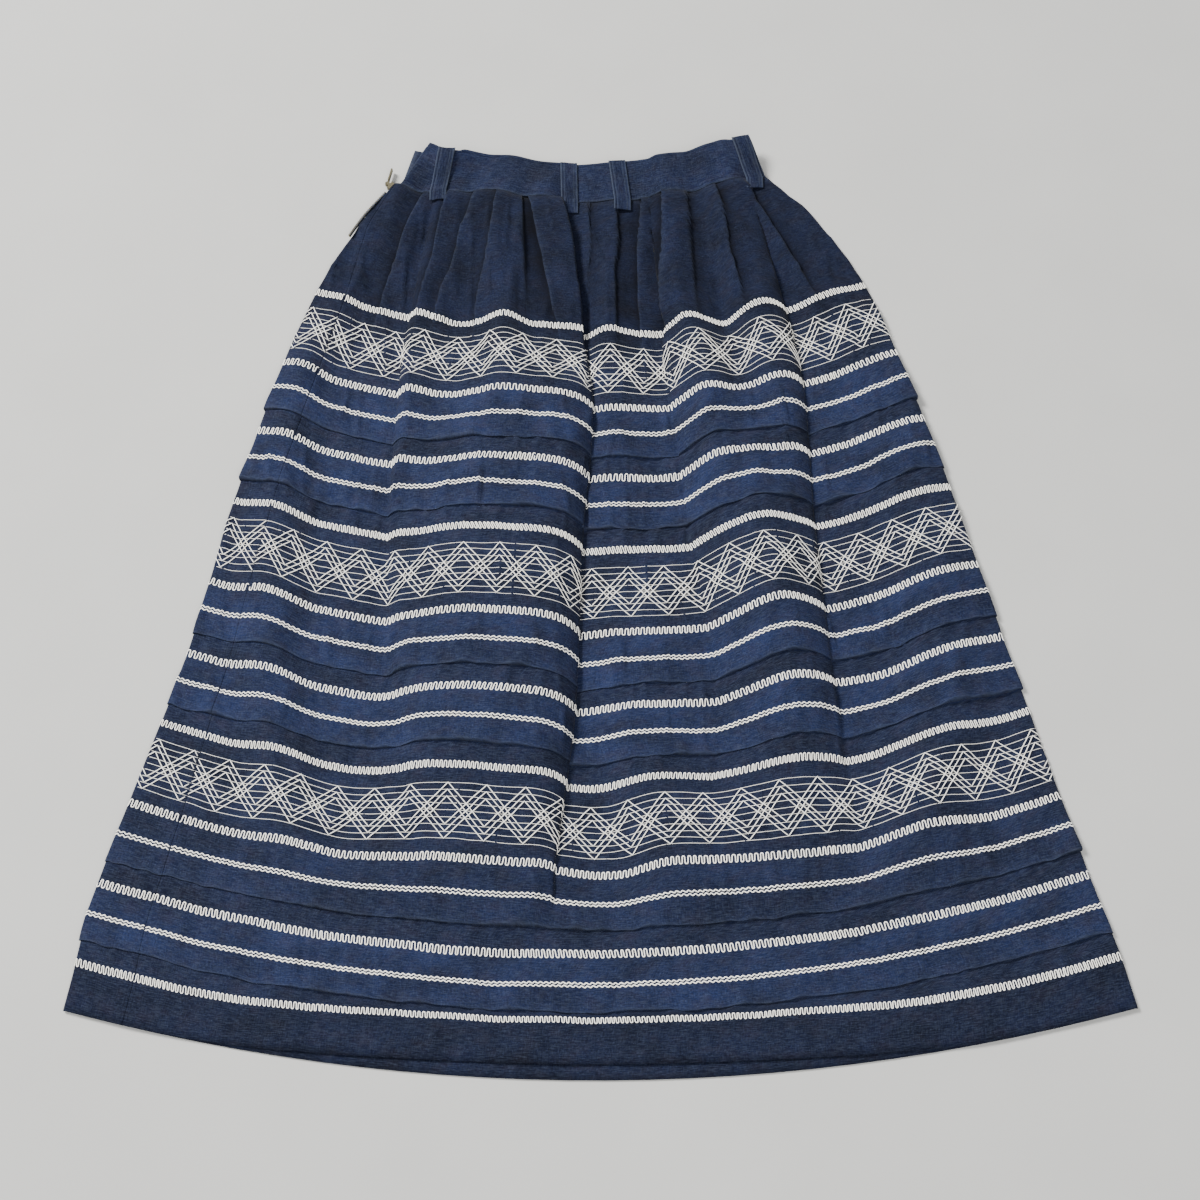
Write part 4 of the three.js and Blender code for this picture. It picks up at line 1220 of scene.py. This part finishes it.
class SKIRT_OT_waves(bpy.types.Operator):
    """Double wavy lines across the tucks"""
    bl_idname = "skirt.waves"
    bl_label = "Waves"

    def execute(self, context):
        thread = context.scene.skirt_thread
        lines = []
        for laid, shift in ((LAID["front"], 0), (LAID["strip"], 50)):
            for number, row in enumerate(WAVES):
                width = laid.width(row)
                for u, v in wave_paths(width, 60 + number + shift):
                    lines.append(sewn(laid, width, u, row + v))
        embroider(thread, "double_waves", lines, thread.wave / MM / 2, 4)
        return {"FINISHED"}


class SKIRT_OT_lattices(bpy.types.Operator):
    """Bands of diamond lattice over level lines"""
    bl_idname = "skirt.lattices"
    bl_label = "Lattices"

    def execute(self, context):
        thread = context.scene.skirt_thread
        lines = {"hair": [], "fine": []}
        for laid, shift in ((LAID["front"], 6), (LAID["strip"], 24)):
            for number, (top, low) in enumerate(LATTICES):
                width = laid.width((top + low) / 2)
                for kind, u, v, lift in lattice_paths(width, top, low, shift, 70 + number):
                    lines[kind].append(sewn(laid, width, u, v, lift))
        embroider(thread, "lattice_lines", lines["hair"], thread.hair / MM / 2, 4)
        embroider(thread, "lattice_zigzags", lines["fine"], thread.fine / MM / 2, 4)
        return {"FINISHED"}


def embroider(thread, name, lines, radius, sides):
    piece = make_threads(name, [line for line in lines if len(line[0]) > 1], radius, sides)
    cotton = bpy.data.materials.get("mercerised cotton thread")
    cotton = cotton or cotton_thread("mercerised cotton thread", thread.colour, thread.shade)
    piece.data.materials.append(cotton)
    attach(piece, "garment")


# Zip

class SKIRT_OT_zip(bpy.types.Operator):
    """Woven tape for the zip's chain, and darkened brass for its slider and pull tab"""
    bl_idname = "skirt.zip"
    bl_label = "Zip"

    def execute(self, context):
        brass = aged_brass()
        tape = woven_tape("woven zip tape", "#171c2a", "#39435a")
        for name, material in (("zip_chain", tape), ("zip_slider", brass), ("zip_pull", brass)):
            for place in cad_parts[name].material_slots:
                place.material = material
        return {"FINISHED"}


def aged_brass():
    """The zip's metal, made once for its slider, pull tab and teeth."""
    found = bpy.data.materials.get("darkened brass")
    return found or darkened_brass("darkened brass", "#77705a", "#37342b")


class SKIRT_OT_zip_teeth(bpy.types.Operator):
    """A row of small brass teeth along the zip's tape, one tooth modelled and copied"""
    bl_idname = "skirt.zip_teeth"
    bl_label = "Zip teeth"

    def execute(self, context):
        bpy.ops.object.select_all(action="DESELECT")
        bpy.ops.mesh.primitive_cube_add(size=1)
        tooth = context.object
        bpy.ops.object.mode_set(mode="EDIT")
        bpy.ops.transform.resize(value=TOOTH)
        bpy.ops.mesh.bevel(offset=TOOTH_BEVEL, segments=2, affect="EDGES")
        bpy.ops.object.mode_set(mode="OBJECT")
        rows = np.linspace(ZIP["from"], ZIP["to"], ZIP["teeth"])
        x, y = zip_line(rows)
        x_next, y_next = zip_line(rows + 0.5)
        for number, turn in enumerate(np.arctan2(y_next - y, x_next - x), 1):
            out = np.array((math.sin(turn), -math.cos(turn)))
            spot = np.array((x[number - 1], y[number - 1])) + out * ZIP["out"]
            place = Matrix.Translation(((*spot, ZIP["middle"]) - MIDDLE) * MM)
            copy = bpy.data.objects.new(f"zip_tooth_{number}", tooth.data.copy())
            copy.data.transform(place @ Matrix.Rotation(turn + math.pi / 2, 4, "Z"))
            copy.data.materials.append(aged_brass())
            context.scene.collection.objects.link(copy)
            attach(copy, "garment")
        bpy.data.objects.remove(tooth)
        return {"FINISHED"}


def zip_line(rows):
    """The fold that the zip runs along, seen from above."""
    x = edge(rows, "left_x")
    inner = x + LAYER / 2
    return x, flat_y(inner, rows) + SLIP * fold_height(inner, rows)


# Studio

class SKIRT_OT_studio(bpy.types.Operator):
    """A plain pale floor, soft studio light and a camera at the photograph's angle"""
    bl_idname = "skirt.studio"
    bl_label = "Studio"

    def execute(self, context):
        studio = context.scene.skirt_studio
        bpy.ops.object.select_all(action="DESELECT")
        # A hair below the cloth, so that the two don't fight for the same plane
        bpy.ops.mesh.primitive_plane_add(size=12, location=(0, 0, -0.0002))
        floor = context.object
        floor.name = "floor"
        bpy.ops.object.transform_apply(location=True)
        floor.data.materials.append(painted_floor("matt pale paint", studio.floor))
        for name, lamp in LIGHTS.items():
            self.light(name, **lamp)
        world = bpy.data.worlds.new("studio air")
        world.use_nodes = True
        air = world.node_tree.nodes["Background"].inputs
        air["Color"].default_value = linear("#e9edf2")
        air["Strength"].default_value = 0.6
        context.scene.world = world
        lens = bpy.data.cameras.new("photograph view")
        lens.lens = studio.lens
        lens.sensor_width = 36
        camera = bpy.data.objects.new("photograph view", lens)
        camera.location = (*CAMERA_FOOT, studio.height)
        camera.rotation_euler = (studio.tilt, 0, 0)
        context.scene.collection.objects.link(camera)
        context.scene.camera = camera
        return {"FINISHED"}

    def light(self, name, place, size, power):
        """A soft square light that faces the middle of the floor."""
        lamp = bpy.data.lights.new(name, "AREA")
        lamp.size = size
        lamp.energy = power
        lit = bpy.data.objects.new(name, lamp)
        lit.location = place
        lit.rotation_euler = (-Vector(place)).to_track_quat("-Z", "Y").to_euler()
        bpy.context.scene.collection.objects.link(lit)


class SKIRT_PT_panel(bpy.types.Panel):
    """Lists the skirt's steps, in the order that they run in"""
    bl_label = "Embroidered skirt"
    bl_space_type = "VIEW_3D"
    bl_region_type = "UI"
    bl_category = "Skirt"

    def draw(self, context):
        for step in STEPS:
            self.layout.operator(step.bl_idname)


STEPS = (SKIRT_OT_studio, SKIRT_OT_front_panel, SKIRT_OT_back_panel, SKIRT_OT_waistband,
         SKIRT_OT_belt_loops, SKIRT_OT_braids, SKIRT_OT_waves, SKIRT_OT_lattices, SKIRT_OT_zip,
         SKIRT_OT_zip_teeth)
GROUPS = {"skirt_cloth": SkirtCloth, "skirt_thread": SkirtThread, "skirt_studio": SkirtStudio}


def register():
    for kind in (*GROUPS.values(), *STEPS, SKIRT_PT_panel):
        bpy.utils.register_class(kind)
    for name, kind in GROUPS.items():
        setattr(bpy.types.Scene, name, bpy.props.PointerProperty(type=kind))


def unregister():
    for name in GROUPS:
        delattr(bpy.types.Scene, name)
    for kind in reversed((*GROUPS.values(), *STEPS, SKIRT_PT_panel)):
        bpy.utils.unregister_class(kind)


def main():
    register()
    for step in STEPS:
        area, name = step.bl_idname.split(".")
        getattr(getattr(bpy.ops, area), name)()


if __name__ == "__main__":
    main()
